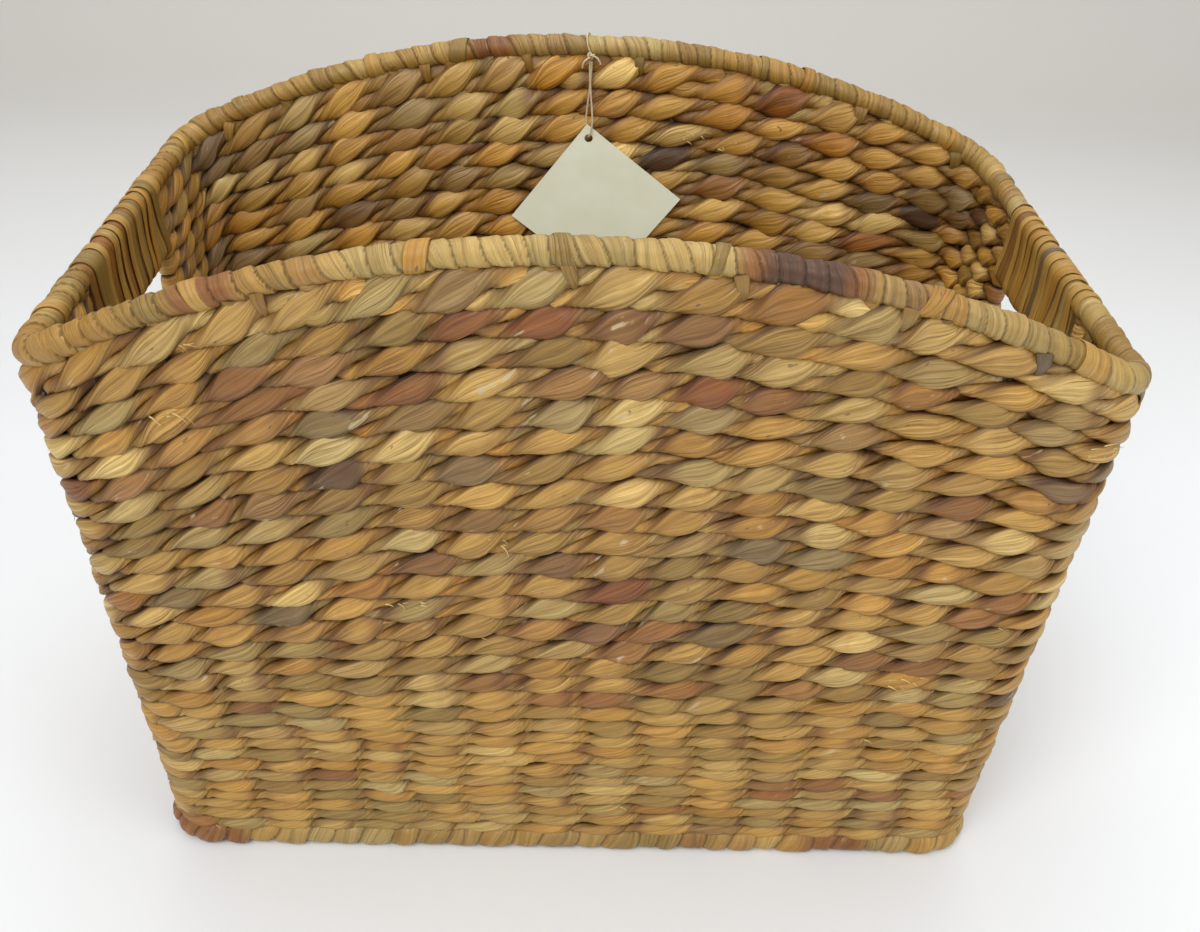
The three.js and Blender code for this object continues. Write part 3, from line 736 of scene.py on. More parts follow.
# Stained places: side of the wall, x and z of their middle, half their length and height, the colour there
stains = [
    ("front", -0.148, 0.224, 0.026, 0.006, "rust"),
    ("front", -0.102, 0.238, 0.022, 0.008, "dark"),
    ("front", -0.078, 0.288, 0.026, 0.007, "rust"),
    ("front", -0.008, 0.316, 0.056, 0.006, "rust"),
    ("front", 0.002, 0.286, 0.024, 0.006, "rust"),
    ("front", 0.057, 0.286, 0.024, 0.007, "rust"),
    ("front", 0.080, 0.239, 0.018, 0.006, "dark"),
    ("front", -0.005, 0.191, 0.016, 0.006, "grey"),
    ("front", -0.030, 0.217, 0.040, 0.006, "rust"),
    ("front", -0.004, 0.113, 0.022, 0.005, "rust"),
    ("front", 0.105, 0.052, 0.026, 0.008, "rust"),
    ("front", 0.143, 0.047, 0.018, 0.005, "rust"),
    ("front", 0.192, 0.116, 0.014, 0.005, "dark"),
    ("front", -0.120, 0.195, 0.024, 0.007, "honey"),
    ("front", -0.075, 0.226, 0.020, 0.006, "honey"),
    ("back", 0.071, 0.288, 0.045, 0.008, "dark"),
    ("back", 0.085, 0.318, 0.028, 0.006, "rust"),
    ("back", -0.100, 0.298, 0.016, 0.006, "rust"),
    ("back", -0.116, 0.249, 0.028, 0.007, "dark"),
    ("back", 0.190, 0.266, 0.034, 0.014, "dark"),
    ("back", -0.193, 0.280, 0.020, 0.018, "grey"),
]


def pickLeaves(rng, count, shares):
    names = list(shares)
    chosen = rng.choice(len(names), count, p=np.array([shares[n] for n in names]) / sum(shares.values()))
    table = np.array([leaf[n] for n in names])
    return table[chosen]


# A colour for each bead of one strand. A strand keeps its colour over a few beads, each bead strays a
# little from it, and beads in a stained place take the stain's colour.
def beadColours(rng, x, y, z, outside):
    count = len(x)
    isLow = z.mean() < beadLook["lowHeight"]
    shares = lowShares if isLow else usualShares
    runs = np.cumsum(rng.random(count) < beadLook["change"])
    strandColour = pickLeaves(rng, runs[-1] + 1, shares)[runs]
    own = pickLeaves(rng, count, shares)
    inner = pickLeaves(rng, count, insideShares)
    own = np.where(outside[:, None], own, inner)
    colour = blend(strandColour, own, rng.uniform(*beadLook["own"], (count, 1)))
    stray = beadLook["lowStray" if isLow else "stray"]
    colour = colour * rng.uniform(1 - stray, 1 + stray, (count, 1))
    # Painted light, which lifts the inside beads out of the wall's shade
    colour = colour * np.where(outside, *beadLook["lift"])[:, None]
    deep = beadLook["faceDepth"]
    onFace = {"front": outside & (y < -deep), "back": ~outside & (y > deep)}
    for side, midX, midZ, halfLong, halfHigh, name in stains:
        near = ((x - midX) / halfLong) ** 2 + ((z - midZ) / halfHigh) ** 2
        weight = np.where(onFace[side], np.clip(beadLook["stainReach"] - near, 0, 1), 0)[:, None]
        weight = weight * rng.uniform(*beadLook["stainShare"], (count, 1))
        colour = blend(colour, leaf[name] * rng.uniform(*beadLook["stainStray"], (count, 1)), weight)
    return colour


# Twined courses

strand = {
    "stepsPerSpace": 12,
    "sides": 20,
    "squareness": 0.85,
    "wideShare": 0.60,  # half a bead's height, of its course's
    "thinShare": 0.30,
    "crossingShare": 0.26,  # how far a strand rises above its course's middle where it crosses the other
    "crossingReach": 0.0046,  # half the strand's width there, in and out of the wall
    "pinch": 0.04,  # how much a bead narrows on its way to the crossing
    "blunt": 0.10,  # how much wider its right end is than its left one
    "linger": 0.30,  # how far a strand stays flat at a bead, from 0, an even turn, to 1
    "faceLinger": 0.58,  # the same for the way its wide side faces
    "outerFace": 0.0061,  # from the wall's middle
    "ridges": ((5, 0.030), (8, 0.022)),  # how many run along a strand, and how high, as a share
    "ridgeTwist": 0.5,
    "widthStray": 0.10,
    "thinStray": 0.08,
    "phaseStray": 0.10,
    "strayChange": (0.15, 0.85),  # one bead's stray gives way to the next one's between these
    "faceStray": 0.0003,  # of a bead, in and out of the wall
    "besideCard": (0.045, 0.065),  # where it grows from nothing, to the sides of the hanging card
    "underCard": (0.205, 0.19),
    "overCard": (0.315, 0.325),
    "liftStray": 0.0004,
    "placeStray": 0.0026,  # of a bead along the wall
    "rowStray": 0.0045,  # of a whole course's beads, in two waves round the wall
    "rowWaves": ((1, 4), 5),  # how many there are of the slow one, by chance, and of the other
    "rowWaveShare": 0.6,
    "lowMaterial": 13,  # the courses below this one have the plainer material
    "lowLevels": (15, 10),  # between these, downwards, courses become shallower, flatter and more even
    "lowReach": 0.0052,
    "lowCrossing": 0.13,
    "lowThin": 0.37,
    "lowBlunt": 0.4,  # share of it that is left
    "turnRadius": 0.0026,  # round a hand-hole's post
    "turnThin": 0.0018,
    "turnNarrow": 0.12,  # how much narrower a strand is there
    "turnReach": 0.6,  # the spaces over which it thins
    "turnSteps": 9,
    "grain": 4.4,  # radius of the leaf pattern's tube, in millimetres
    "grainShift": (400, 200),  # how far the pattern is moved by chance, along and across
    "endStain": 0.42,  # share of the crossings where the leaf is stained brown
    "endStainPlace": (0.3, 0.7),  # from one bead, at 0, to the next, at 1
    "endStainStrength": (0.15, 0.75),
    "endStainReach": 0.16,
    "endStainShade": 0.7,
    "beadChange": (0.36, 0.64),  # one bead's colour gives way to the next one's between these
    "depthShade": (0.32, 0.50),  # the light left at the wall's middle, in a high and a low course
    "depthReach": (0.0008, 0.0048),
    "edgeShade": (0.74, 0.42),  # how much it darkens at a bead's edges, in a high and a low course
    "edgeFrom": 0.77,
    "edgeAtCrossing": 0.35,
    "shadeHue": (0.0, 0.20, 0.50),  # how much further the green and the blue darken than the red
}


# The turn a strand has made at s, in uprights: half a turn to each, slow at a bead and quick between
def strandTurn(s):
    return math.pi * s - strand["linger"] / 2 * np.sin(2 * math.pi * s)


# A value that strays by chance from bead to bead and is smooth between: bead i's own value at s = i, and
# halfway to the next one at the crossing
def beadValues(rng, s, count, stray):
    own = np.clip(rng.normal(0, stray, count + 1), -2 * stray, 2 * stray)
    own[-1] = own[0]
    i = np.clip(np.floor(s).astype(int), 0, count - 1)
    return blend(own[i], own[i + 1], smooth(*strand["strayChange"], s - i))


# 0 on the back wall behind the hanging card, where no bead may stand proud, and 1 elsewhere
def clearOfCard(x, y, z):
    beside = smooth(*strand["besideCard"], np.abs(x))
    under, over = smooth(*strand["underCard"], z), smooth(*strand["overCard"], z)
    return np.minimum(beside + under + over + (y < 0), 1)


# Where a strand's points are in the leaf's pattern: on a tube whose length is the strand's
def leafTube(rng, travelled, around, radius):
    ring = radius * np.stack([0 * around, np.cos(around), np.sin(around)], -1)
    fibre = np.repeat(ring[None], len(travelled), axis=0)
    along, across = strand["grainShift"]
    fibre[..., 0] = travelled[:, None] + rng.uniform(0, along)
    fibre[..., 1:] += rng.uniform(-across, across, 2)
    return fibre


# One strand of a course, as rings of points. The strand circles the course's middle line once in two
# uprights, out where the cosine of its phase is 1 and up where its sine is. It is a flat bundle whose wide
# side faces out at a bead and turns edge on between two beads, where the other strand crosses it. Shade is
# painted into its colour there and along a bead's edges. Its fibres are counted from where it starts, both
# ways round, so that they meet without a break.
def strandGrid(rng, plan, along, phase, s, level, count, colours, narrow=None):
    x, y, outX, outY = plan
    foot = courseHeight(level, x)
    pitch = courseHeight(level + 1, x) - foot
    middle = foot + pitch / 2
    middle = middle + waver(along, middle)
    phase = phase + beadValues(rng, s, count, strand["phaseStray"])
    facing = phase - strand["faceLinger"] / 2 * np.sin(2 * phase)
    turnCos, turnSin = np.cos(phase), np.sin(phase)
    faceCos, faceSin = np.cos(facing)[:, None], np.sin(facing)[:, None]
    low = smooth(*strand["lowLevels"], level)
    wide = pitch * strand["wideShare"] * (1 + beadValues(rng, s, count, strand["widthStray"]))
    rise = pitch * blend(strand["crossingShare"], strand["lowCrossing"], low)
    isTop = level == wall["courseCount"] - 1
    if isTop:
        wide = wide * wall["topFullness"]
        middle = middle + wall["topRise"]
        rise = rise + wall["topSwell"]
    wide = wide * turnCos**2 + blend(strand["crossingReach"], strand["lowReach"], low) * turnSin**2
    blunt = strand["blunt"] * blend(1, strand["lowBlunt"], low)
    wide = wide * (1 - strand["pinch"] * np.sin(2 * phase) ** 2 + blunt * np.sin(2 * phase))
    thin = pitch * blend(strand["thinShare"], strand["lowThin"], low)
    thin = thin * (1 + beadValues(rng, s, count, strand["thinStray"])) + (wall["topSwell"] if isTop else 0)
    faceStray = beadValues(rng, s, count, strand["faceStray"]) * clearOfCard(x, y, middle)
    reach = strand["outerFace"] - thin + faceStray
    lift = beadValues(rng, s, count, strand["liftStray"])
    if narrow is not None:
        wide = wide * (1 - strand["turnNarrow"] * narrow)
        thin = blend(thin, strand["turnThin"], narrow)
        reach = blend(reach, strand["turnRadius"], narrow)
    around = ringAngles(strand["sides"])
    lobes = rng.uniform(0, 2 * math.pi, 2)
    twist = rng.uniform(-strand["ridgeTwist"], strand["ridgeTwist"]) * np.minimum(s, count - s)
    (ridgeCount, ridgeHigh), (evenCount, evenHigh) = strand["ridges"]
    ridge = 1 + ridgeHigh * np.sin(ridgeCount * around + lobes[0] + twist[:, None])
    ridge = ridge + evenHigh * np.sin(evenCount * around + lobes[1])
    across = wide[:, None] * ridge * np.sin(around)
    deep = thin[:, None] * ridge * squareCos(around, strand["squareness"])
    off = (reach * turnCos)[:, None] + deep * faceCos - across * faceSin
    up = (rise * turnSin + lift)[:, None] + deep * faceSin + across * faceCos
    points = onWall(x[:, None], y[:, None], outX[:, None], outY[:, None], middle[:, None] + up, off)
    steps = 1000 * np.hypot(np.roll(x, -1) - x, np.roll(y, -1) - y)
    travelled = np.concatenate([[0], np.cumsum(steps[:-1])])
    travelled = np.minimum(travelled, steps.sum() - travelled)
    fibre = leafTube(rng, travelled, around, strand["grain"])
    # Painted shade: darker towards the wall's middle and along a bead's edges, and redder as it darkens
    edge = smooth(strand["edgeFrom"], 1.0, np.abs(np.sin(around)))
    edge = edge * blend(strand["edgeAtCrossing"], 1, turnCos**2)[:, None]
    shade = blend(blend(*strand["depthShade"], low), 1, smooth(*strand["depthReach"], np.abs(off)))
    shade = shade * (1 - blend(*strand["edgeShade"], low) * edge)
    redder = 1 + (1 - low) * np.array(strand["shadeHue"])
    colour = colours[:, None, :] * shade[..., None] ** redder
    return {"points": points, "colour": colour, "fibre": fibre, "closedRows": True}


# Bead colours along a strand: each bead's own, with a short change at the crossing, where the leaf may be
# stained
def colourAlong(rng, s, count, beads, closed):
    if closed:
        beads = np.concatenate([beads, beads[:1]])
    i = np.clip(np.floor(s).astype(int), 0, count - 1)
    j = np.minimum(i + 1, len(beads) - 1)
    stained = rng.uniform(*strand["endStainStrength"], count) * (rng.random(count) < strand["endStain"])
    centre = rng.uniform(*strand["endStainPlace"], count)
    stain = (stained[i] * np.exp(-(((s - i - centre[i]) / strand["endStainReach"]) ** 2)))[:, None]
    colour = blend(beads[i], beads[j], smooth(*strand["beadChange"], s - i)[:, None])
    return blend(colour, strand["endStainShade"] * leaf["rust"], stain)


# How far each bead strays along the wall: its own small stray, and one that neighbouring beads share
def placeStray(rng, stand):
    stray = strand["placeStray"]
    turns = 2 * math.pi * stand / roundWall
    slow, even = strand["rowWaves"]
    waves = np.sin(rng.integers(*slow) * turns + rng.uniform(0, 6.3))
    waves = waves + np.sin(even * turns + rng.uniform(0, 6.3))
    own = np.clip(rng.normal(0, stray, len(stand)), -2 * stray, 2 * stray)
    return own + strand["rowStray"] * (strand["rowWaveShare"] * waves + rng.uniform(-0.5, 0.5))


def beadMiddles(level, stand):
    x, y, _, _ = planAt(stand)
    foot, top = courseHeight(level, x), courseHeight(level + 1, x)
    wide, deep = leanShares(foot)
    return x * wide, y * deep, (foot + top) / 2


# A course that runs all the way round: two strands, each with its beads outside at every second upright
def ringCourse(level):
    rng = np.random.default_rng(100 + level)
    count = len(uprights)
    stand = np.sort(uprights + placeStray(rng, uprights))
    s = np.arange(count * strand["stepsPerSpace"]) / strand["stepsPerSpace"]
    along = np.interp(s, np.arange(count + 1), np.append(stand, stand[0] + roundWall))
    middles = beadMiddles(level, stand)
    grids = []
    for ply in (0, 1):
        outside = (np.arange(count) + ply) % 2 == 0
        beads = beadColours(rng, *middles, outside)
        colours = colourAlong(rng, s, count, beads, True)
        phase = strandTurn(s) + math.pi * ply
        grids.append(strandGrid(rng, planAt(along), along, phase, s, level, count, colours))
    name = f"course{level + 1:02d}"
    material = lowCourseLeaf if level < strand["lowMaterial"] else courseLeaf
    makePiece(name, grids, material, replaced=[f"course_{level + 1:02d}"])


# Where the strands of the top course cross, along the wall: the rim is bound down there
topCrossings = {}


# A course beside the hand-holes: one strand that runs from post to post, turns round it and comes back
# crossing itself. At a post the direction that faces out swings half round, and on the way back the wall's
# inner side is the strand's outer one.
def turnedCourse(level, side):
    rng = np.random.default_rng(200 + 2 * level + (side == "front"))
    half = roundWall / 2
    shift = half if side == "front" else 0.0
    own = uprights[(uprights > wall["postReach"] - 0.001) & (uprights < half - wall["postReach"] + 0.001)]
    count = len(own) - 1
    jitter = placeStray(rng, own)
    jitter[[0, -1]] = 0
    stand = own + jitter + shift
    if level == wall["courseCount"] - 1:
        topCrossings[side] = (stand[:-1] + stand[1:]) / 2
    steps, turnSteps = strand["stepsPerSpace"], strand["turnSteps"]
    go = np.arange(count * steps + 1) / steps
    turning = (np.arange(turnSteps) + 1) / (turnSteps + 1) * math.pi
    s = np.concatenate([go, np.full(turnSteps, float(count)), go[::-1], np.zeros(turnSteps)])
    along = np.interp(s, np.arange(count + 1), stand)
    x, y, outX, outY = planAt(along)
    firstTurn = slice(len(go), len(go) + turnSteps)
    back = slice(firstTurn.stop, firstTurn.stop + len(go))
    lastTurn = slice(back.stop, len(s))
    phase = strandTurn(s)
    phase[back] = -strandTurn(go[::-1])
    for turn, forward in ((firstTurn, 1), (lastTurn, -1)):
        phase[turn] = phase[turn.start - 1]
        swing = turning if math.cos(phase[turn.start]) > 0 else -turning
        facingX, facingY = outX[turn.start], outY[turn.start]
        outX[turn] = forward * (facingX * np.cos(swing) - facingY * np.sin(swing))
        outY[turn] = forward * (facingY * np.cos(swing) + facingX * np.sin(swing))
    outX[back], outY[back] = -outX[back], -outY[back]
    narrow = smooth(strand["turnReach"], 0.0, np.minimum(s, count - s))
    middles = beadMiddles(level, stand)
    colours = []
    for ply in (0, 1):
        outside = (np.arange(count + 1) + ply) % 2 == 0
        beads = beadColours(rng, *middles, outside)
        if ply:
            beads[[0, -1]] = colours[0][[0, -1]]
        colours.append(beads)
    forwardColours = colourAlong(rng, go, count, colours[0], False)
    backColours = colourAlong(rng, go[::-1], count, colours[1], False)
    turnColours = [np.repeat(forwardColours[end], turnSteps, 0) for end in (slice(-1, None), slice(0, 1))]
    colour = np.concatenate([forwardColours, turnColours[0], backColours, turnColours[1]])
    grid = strandGrid(rng, (x, y, outX, outY), along, phase, s, level, count, colour, narrow)
    name = f"course{level + 1}{side.capitalize()}"
    makePiece(name, [grid], courseLeaf, replaced=[f"course_{level + 1}_{side}"])


for level in range(wall["ringCount"]):
    ringCourse(level)
for level in range(wall["ringCount"], wall["courseCount"]):
    turnedCourse(level, "back")
    turnedCourse(level, "front")
print("basket: courses twined")


# Leaf wound round the rim, the hand-holes' webs and the base

wound = {
    "rimSize": 0.0055,  # radius to the outside of the leaf
    "rimSides": 26,
    "rimReach": 0.0485,  # from the middle of an end to where the rim's winding begins
    "rimHand": -1,  # the rim is wound the other way round from the rest
    "gripHalf": 0.0052,  # half the web's thickness over its two wires
    "gripWaist": 0.16,  # how much thinner the web is between them
    "gripSides": 64,
    "gripLow": 0.2539,
    "gripHigh": 0.2951,
    "gripReach": 0.0482,  # from the basket's middle to each end of a web
    "baseHalf": (0.0068, 0.0066),  # half the width and height of the wound base edge
    "baseSides": 24,
    "baseOut": 0.0013,
    "baseStep": 1.2,  # its steps, in those of the rest
    "rimTurns": (0.0060, 0.0120),  # the narrowest and widest turn
    "gripTurns": (0.0050, 0.0115),
    "baseTurns": (0.0090, 0.0200),
    "sleeveTurns": (0.0022, 0.0040),
    "rimRelief": (0.00095, 0.0005),  # how far a turn's free edge stands proud, and how it bulges
    "gripRelief": (0.0012, 0.0008),
    "baseRelief": (0.0011, 0.0022),
    "sleeveRelief": (0.0004, 0.0002),
    "step": 0.0007,
    "wander": 0.11,  # how far the turns' edges lean and wander, as a share of a turn
    "wanderReach": 0.0047,  # along the line, for one radian of the wave
    "stand": (0.55, 1.3),  # shares of the relief that a turn takes
    "bulge": (0.1, 0.9),
    "tucked": 0.1,  # height of the tucked edge, as a share of the free one's
    "freeEdge": 0.94,  # from here across, a turn falls off to its free edge
    "crease": (0.25, 0.75),  # where its fold runs, from the tucked edge, at 0, to the free one, at 1
    "creaseReach": 0.05,
    "creaseDepth": 0.00028,
    "creaseShade": 0.28,
    "tuckShade": 0.45,  # the light left at a turn's tucked edge
    "tuckReach": 0.12,
    "turnGrain": 9.0,  # how far the leaf's pattern moves from one turn to the next, in millimetres
    "grainShift": 300,
    # How full the rim is: evenly, in waves of these lengths, at the corners, and under the tag's loop
    "swell": 1.04,
    "swellWaves": (0.061, 0.034, 0.019),
    "swellWave": 0.028,
    "cornerSwell": 0.12,
    "cornerReach": (0.034, 0.012),  # from nothing to full
    "drawnSwell": 0.97,
    "drawnReach": (0.014, 0.006),
}
wrapShares = {"straw": 0.40, "honey": 0.26, "olive": 0.12, "khaki": 0.08, "pale": 0.08, "rust": 0.06}

# How the wound leaf takes its colours
wrapLook = {
    "change": 0.45,  # chance that the strip changes its leaf at a turn
    "own": 0.45,  # how much of a turn's colour is its own, and not its strip's
    "stray": (0.68, 1.02),
    "stain": 0.85,
    "stainEase": (0.006, 0.004),  # how far outside and inside its end a stain comes up
}

# Stained places of the wound leaf: side, from and to along x, and the leaf colour there
wrapStains = [
    ("front", 0.053, 0.098, "rust"),
    ("front", 0.062, 0.090, "dark"),
    ("front", -0.150, -0.128, "rust"),
    ("back", -0.060, -0.040, "rust"),
    ("back", 0.118, 0.140, "olive"),
    ("base", -0.205, -0.168, "rust"),
    ("base", 0.020, 0.052, "olive"),
    ("base", 0.120, 0.150, "rust"),
]


# An oval section, and one with two straight sides that draw in between two wires. Both give each column's
# place, its outward direction and how far round it is, from 0 to 1. The seam is at the bottom.
def ovalSection(halfWide, halfHigh, columns):
    share = np.arange(columns) / columns
    turn = 2 * math.pi * share - math.pi / 2
    facing = np.stack([np.cos(turn), np.sin(turn)], -1)
    half = np.array([halfWide, halfHigh])
    return half * facing, unit(facing / half), share


def webSection(half, waist, reach, columns):
    straight = 2 * (reach - half)
    whole = 2 * straight + 2 * math.pi * half
    share = np.arange(columns) / columns
    so = share * whole
    quarter = math.pi * half / 2
    up = np.clip(so - quarter, 0, straight)
    down = np.clip(so - 3 * quarter - straight, 0, straight)
    turn = (so - up - down) / half - math.pi / 2
    place = np.stack([half * np.cos(turn), half * np.sin(turn) - straight / 2 + up - down], -1)
    draw = waist * np.cos(np.clip(place[:, 1] / (straight / 2), -1, 1) * math.pi / 2) ** 1.5
    place[:, 0] *= 1 - draw
    return place, np.stack([np.cos(turn), np.sin(turn)], -1), share


# Leaf wound round a path, which is a line and two directions across it, as rings of points. A point's place
# in the winding is the number of turns that start before it less how far round it is, or plus that for the
# other hand: what is left over a whole number goes across one turn, from the edge that is tucked under to
# the free one that stands proud, and the strip's length runs on from turn to turn.
def woundGrid(rng, path, section, kind, side, swell=1, hand=1):
    line, sideways, upwards = path
    place, facing, share = section
    widths, (lap, bulging) = wound[kind + "Turns"], wound[kind + "Relief"]
    so = lengthsAlong(line)
    count = int(so[-1] / widths[0]) + 4
    starts = np.cumsum(rng.uniform(*widths, count)) - widths[1]
    winding = np.interp(so, starts, np.arange(count))[:, None] - hand * share
    lean = wound["wander"] * np.sin(so[:, None] / wound["wanderReach"] + rng.uniform(0, 6.3))
    winding = winding + lean * np.sin(2 * math.pi * (share + rng.uniform())) + 1
    turn = np.floor(winding)
    across = winding - turn
    strip = share + turn if hand > 0 else share - turn + count + 1
    lay = np.arange(count + 3)
    stand, bulge, crease = (
        np.interp(strip, lay, rng.uniform(*wound[name], count + 3)) for name in ("stand", "bulge", "crease")
    )
    height = lap * stand * blend(wound["tucked"], 1, across**0.8)
    height = height * (1 - smooth(wound["freeEdge"], 1, across)) - lap
    height = height + bulging * bulge * np.sin(math.pi * across) ** 0.8
    folded = np.exp(-(((across - crease) / wound["creaseReach"]) ** 2))
    height = height - wound["creaseDepth"] * folded
    off = place * np.reshape(swell, (-1, 1, 1)) + height[..., None] * facing
    points = line[:, None] + sideways[:, None] * off[..., :1] + upwards[:, None] * off[..., 1:]
    around = np.linalg.norm(np.roll(place, -1, axis=0) - place, axis=1).sum()
    width = np.interp(turn - 1, np.arange(count - 1), np.diff(starts))
    fibre = np.stack([1000 * around * strip, 1000 * width * across, wound["turnGrain"] * turn], -1)
    fibre = fibre + rng.uniform(0, wound["grainShift"], 3)
    colour = wrapColours(rng, side, strip, line, count + 3)
    shade = blend(wound["tuckShade"], 1, smooth(0.0, wound["tuckReach"], across))
    shade = shade * (1 - wound["creaseShade"] * folded)
    return {"points": points, "colour": colour * shade[..., None], "fibre": fibre}


# A loose turn: a strip that lies over the even turns and slants across them
loose = {
    "width": (0.0035, 0.0075),
    "widthStray": 0.2,
    "thick": 0.0009,
    "slant": 0.012,
    "slantShare": (-1, 1.4),
    "lift": 0.00035,
    "tone": (0.82, 1.0),
    "rimPlaces": (0.03, 0.60, 0.062),  # along the winding: first, end and space
    "rimStray": 0.02,
    "gripPlaces": (0.006, 0.092, 0.0085),
    "gripStray": 0.003,
    "clearOfTag": 0.014,
}
looseShares = {"straw": 0.45, "honey": 0.25, "olive": 0.25, "grey": 0.05}


def looseTurn(rng, path, section, at):
    place, facing, share = (np.concatenate([part, part[:1]]) for part in section)
    share[-1] = 1
    so = lengthsAlong(path[0])
    slant = loose["slant"] * rng.uniform(*loose["slantShare"])
    middle, out, up = (readAt(np.clip(at + slant * (share - 0.5), 0, so[-1]), so, part) for part in path)
    off = place + facing * (loose["lift"] * np.sin(math.pi * share) ** 0.4)[:, None]
    line = middle + out * off[:, :1] + up * off[:, 1:]
    normal = unit(out * facing[:, :1] + up * facing[:, 1:])
    width = rng.uniform(*loose["width"])
    width = width * (1 + loose["widthStray"] * np.sin(2 * math.pi * (share + rng.uniform())))
    colour = pickLeaves(rng, 1, looseShares)[0] * rng.uniform(*loose["tone"])
    return ribbonGrid(rng, line, normal, width, loose["thick"], colour)


# A wound strip's colour: it runs on over a few turns and strays a little at each, and stained places
# take theirs
def wrapColours(rng, side, strip, line, count):
    runs = np.cumsum(rng.random(count) < wrapLook["change"])
    own = pickLeaves(rng, runs[-1] + 1, wrapShares)[runs]
    own = blend(own, pickLeaves(rng, count, wrapShares), wrapLook["own"])
    own = own * rng.uniform(*wrapLook["stray"], (count, 1))
    colour = readAt(strip, np.arange(count), own)
    x, y, _ = line.T[..., None, None]
    outside, inside = wrapLook["stainEase"]
    for place, low, high, name in wrapStains:
        if place == side:
            weight = smooth(low - outside, low + inside, x) * smooth(high + outside, high - inside, x)
            if side == "base":
                weight = weight * (y < 0)
            colour = blend(colour, leaf[name], wrapLook["stain"] * weight)
    return colour


# The line of the rim wire from one hand-hole round a face to the other, and the directions out and up
def rimLine(side):
    half = roundWall / 2
    shift = half if side == "front" else 0.0
    reach = wound["rimReach"] / leanShares(wall["cornerHeight"])[1]
    along = np.linspace(reach, half - reach, round((half - 2 * reach) / wound["step"])) + shift
    x, y, outX, outY = planAt(along)
    line = onWall(x, y, outX, outY, rimHeight(x), 0)
    sideways = np.stack([outX, outY, 0 * outX], -1)
    upwards = unit(np.cross(unit(np.gradient(line, axis=0)), sideways))
    upwards = upwards * np.sign(upwards[:, 2:])
    return line, sideways, upwards


# How full the wound rim is along its line: it swells in slow waves and over the corners, and is drawn in
# where the tag's twine lies round it
def rimSwell(rng, line):
    so = lengthsAlong(line)
    waves = sum(np.sin(2 * math.pi * (so / long + rng.uniform())) for long in wound["swellWaves"])
    corner = np.hypot(np.abs(line[:, 0]) - wall["rimWidth"] / 2, np.abs(line[:, 1]) - wall["rimDepth"] / 2)
    corner = wound["cornerSwell"] * smooth(*wound["cornerReach"], corner)
    drawn = smooth(*wound["drawnReach"], np.abs(line[:, 0])) * (line[:, 1] > 0)
    return blend(wound["swell"] + wound["swellWave"] * waves + corner, wound["drawnSwell"], drawn)


# Bindings: short strips that come down from the wound rim over every second crossing of the top course and
# are tucked in between its strands
bindings = {
    "path": [  # out from the wall's middle and up from the rim wire, in millimetres
        (4.6, -2.6), (5.4, -5.2), (5.4, -7.6), (4.9, -9.8), (3.8, -11.8), (2.4, -13.2),
    ],
    "share": 0.8,  # of those places that have one
    "width": (0.0046, 0.0070),
    "taper": (1.15, 0.55),  # shares of its width at the rim and at its lower end
    "thick": 0.0011,
    "sway": 0.0035,  # how far its upper end strays along the wall
    "lowSway": 0.6,  # share of that by which its lower end strays too
    "tilt": 0.35,  # how far its wide side looks up
    # the leaf's colour is darkened by a share between these: painted shade under the wound rim
    "tone": (0.5, 0.85),
}


def bindingGrid(rng, along, face):
    path = smoothLine(np.array([(*p, 0) for p in bindings["path"]]) / 1000, wound["step"])
    t = np.linspace(0, 1, len(path))
    lowSway = bindings["lowSway"]
    sway = rng.uniform(-1, 1) * (1 - t) + rng.uniform(-lowSway, lowSway)
    x, y, outX, outY = planAt(along + bindings["sway"] * sway)
    line = onWall(x, y, outX, outY, rimHeight(x) + path[:, 1], face * path[:, 0])
    facing = unit(np.stack([outX, outY, bindings["tilt"] + 0 * outX], -1) * face)
    width = rng.uniform(*bindings["width"]) * blend(*bindings["taper"], t)
    # Painted shade under the wound rim darkens the strip's colour
    colour = pickLeaves(rng, 1, looseShares)[0] * rng.uniform(*bindings["tone"])
    return ribbonGrid(rng, line, facing, width, bindings["thick"], colour)


def makeRimWrap(side):
    rng = np.random.default_rng(31 if side == "front" else 32)
    path = rimLine(side)
    section = ovalSection(wound["rimSize"], wound["rimSize"], wound["rimSides"])
    swell = rimSwell(rng, path[0])
    grids = [woundGrid(rng, path, section, "rim", side, swell, wound["rimHand"])]
    places = np.arange(*loose["rimPlaces"])
    for at in places + rng.uniform(-loose["rimStray"], loose["rimStray"], len(places)):
        near = path[0][min(int(at / wound["step"]), len(path[0]) - 1)]
        if side == "front" or abs(near[0]) > loose["clearOfTag"]:
            grids.append(looseTurn(rng, path, section, at))
    for along in topCrossings[side][rng.integers(2)::2]:
        for face in (1, -1):
            if rng.random() < bindings["share"]:
                grids.append(bindingGrid(rng, along, face))
    name = f"rimWrap{side.capitalize()}"
    makePiece(name, grids, wrapLeaf, replaced=[f"rim_wrap_{side}"])


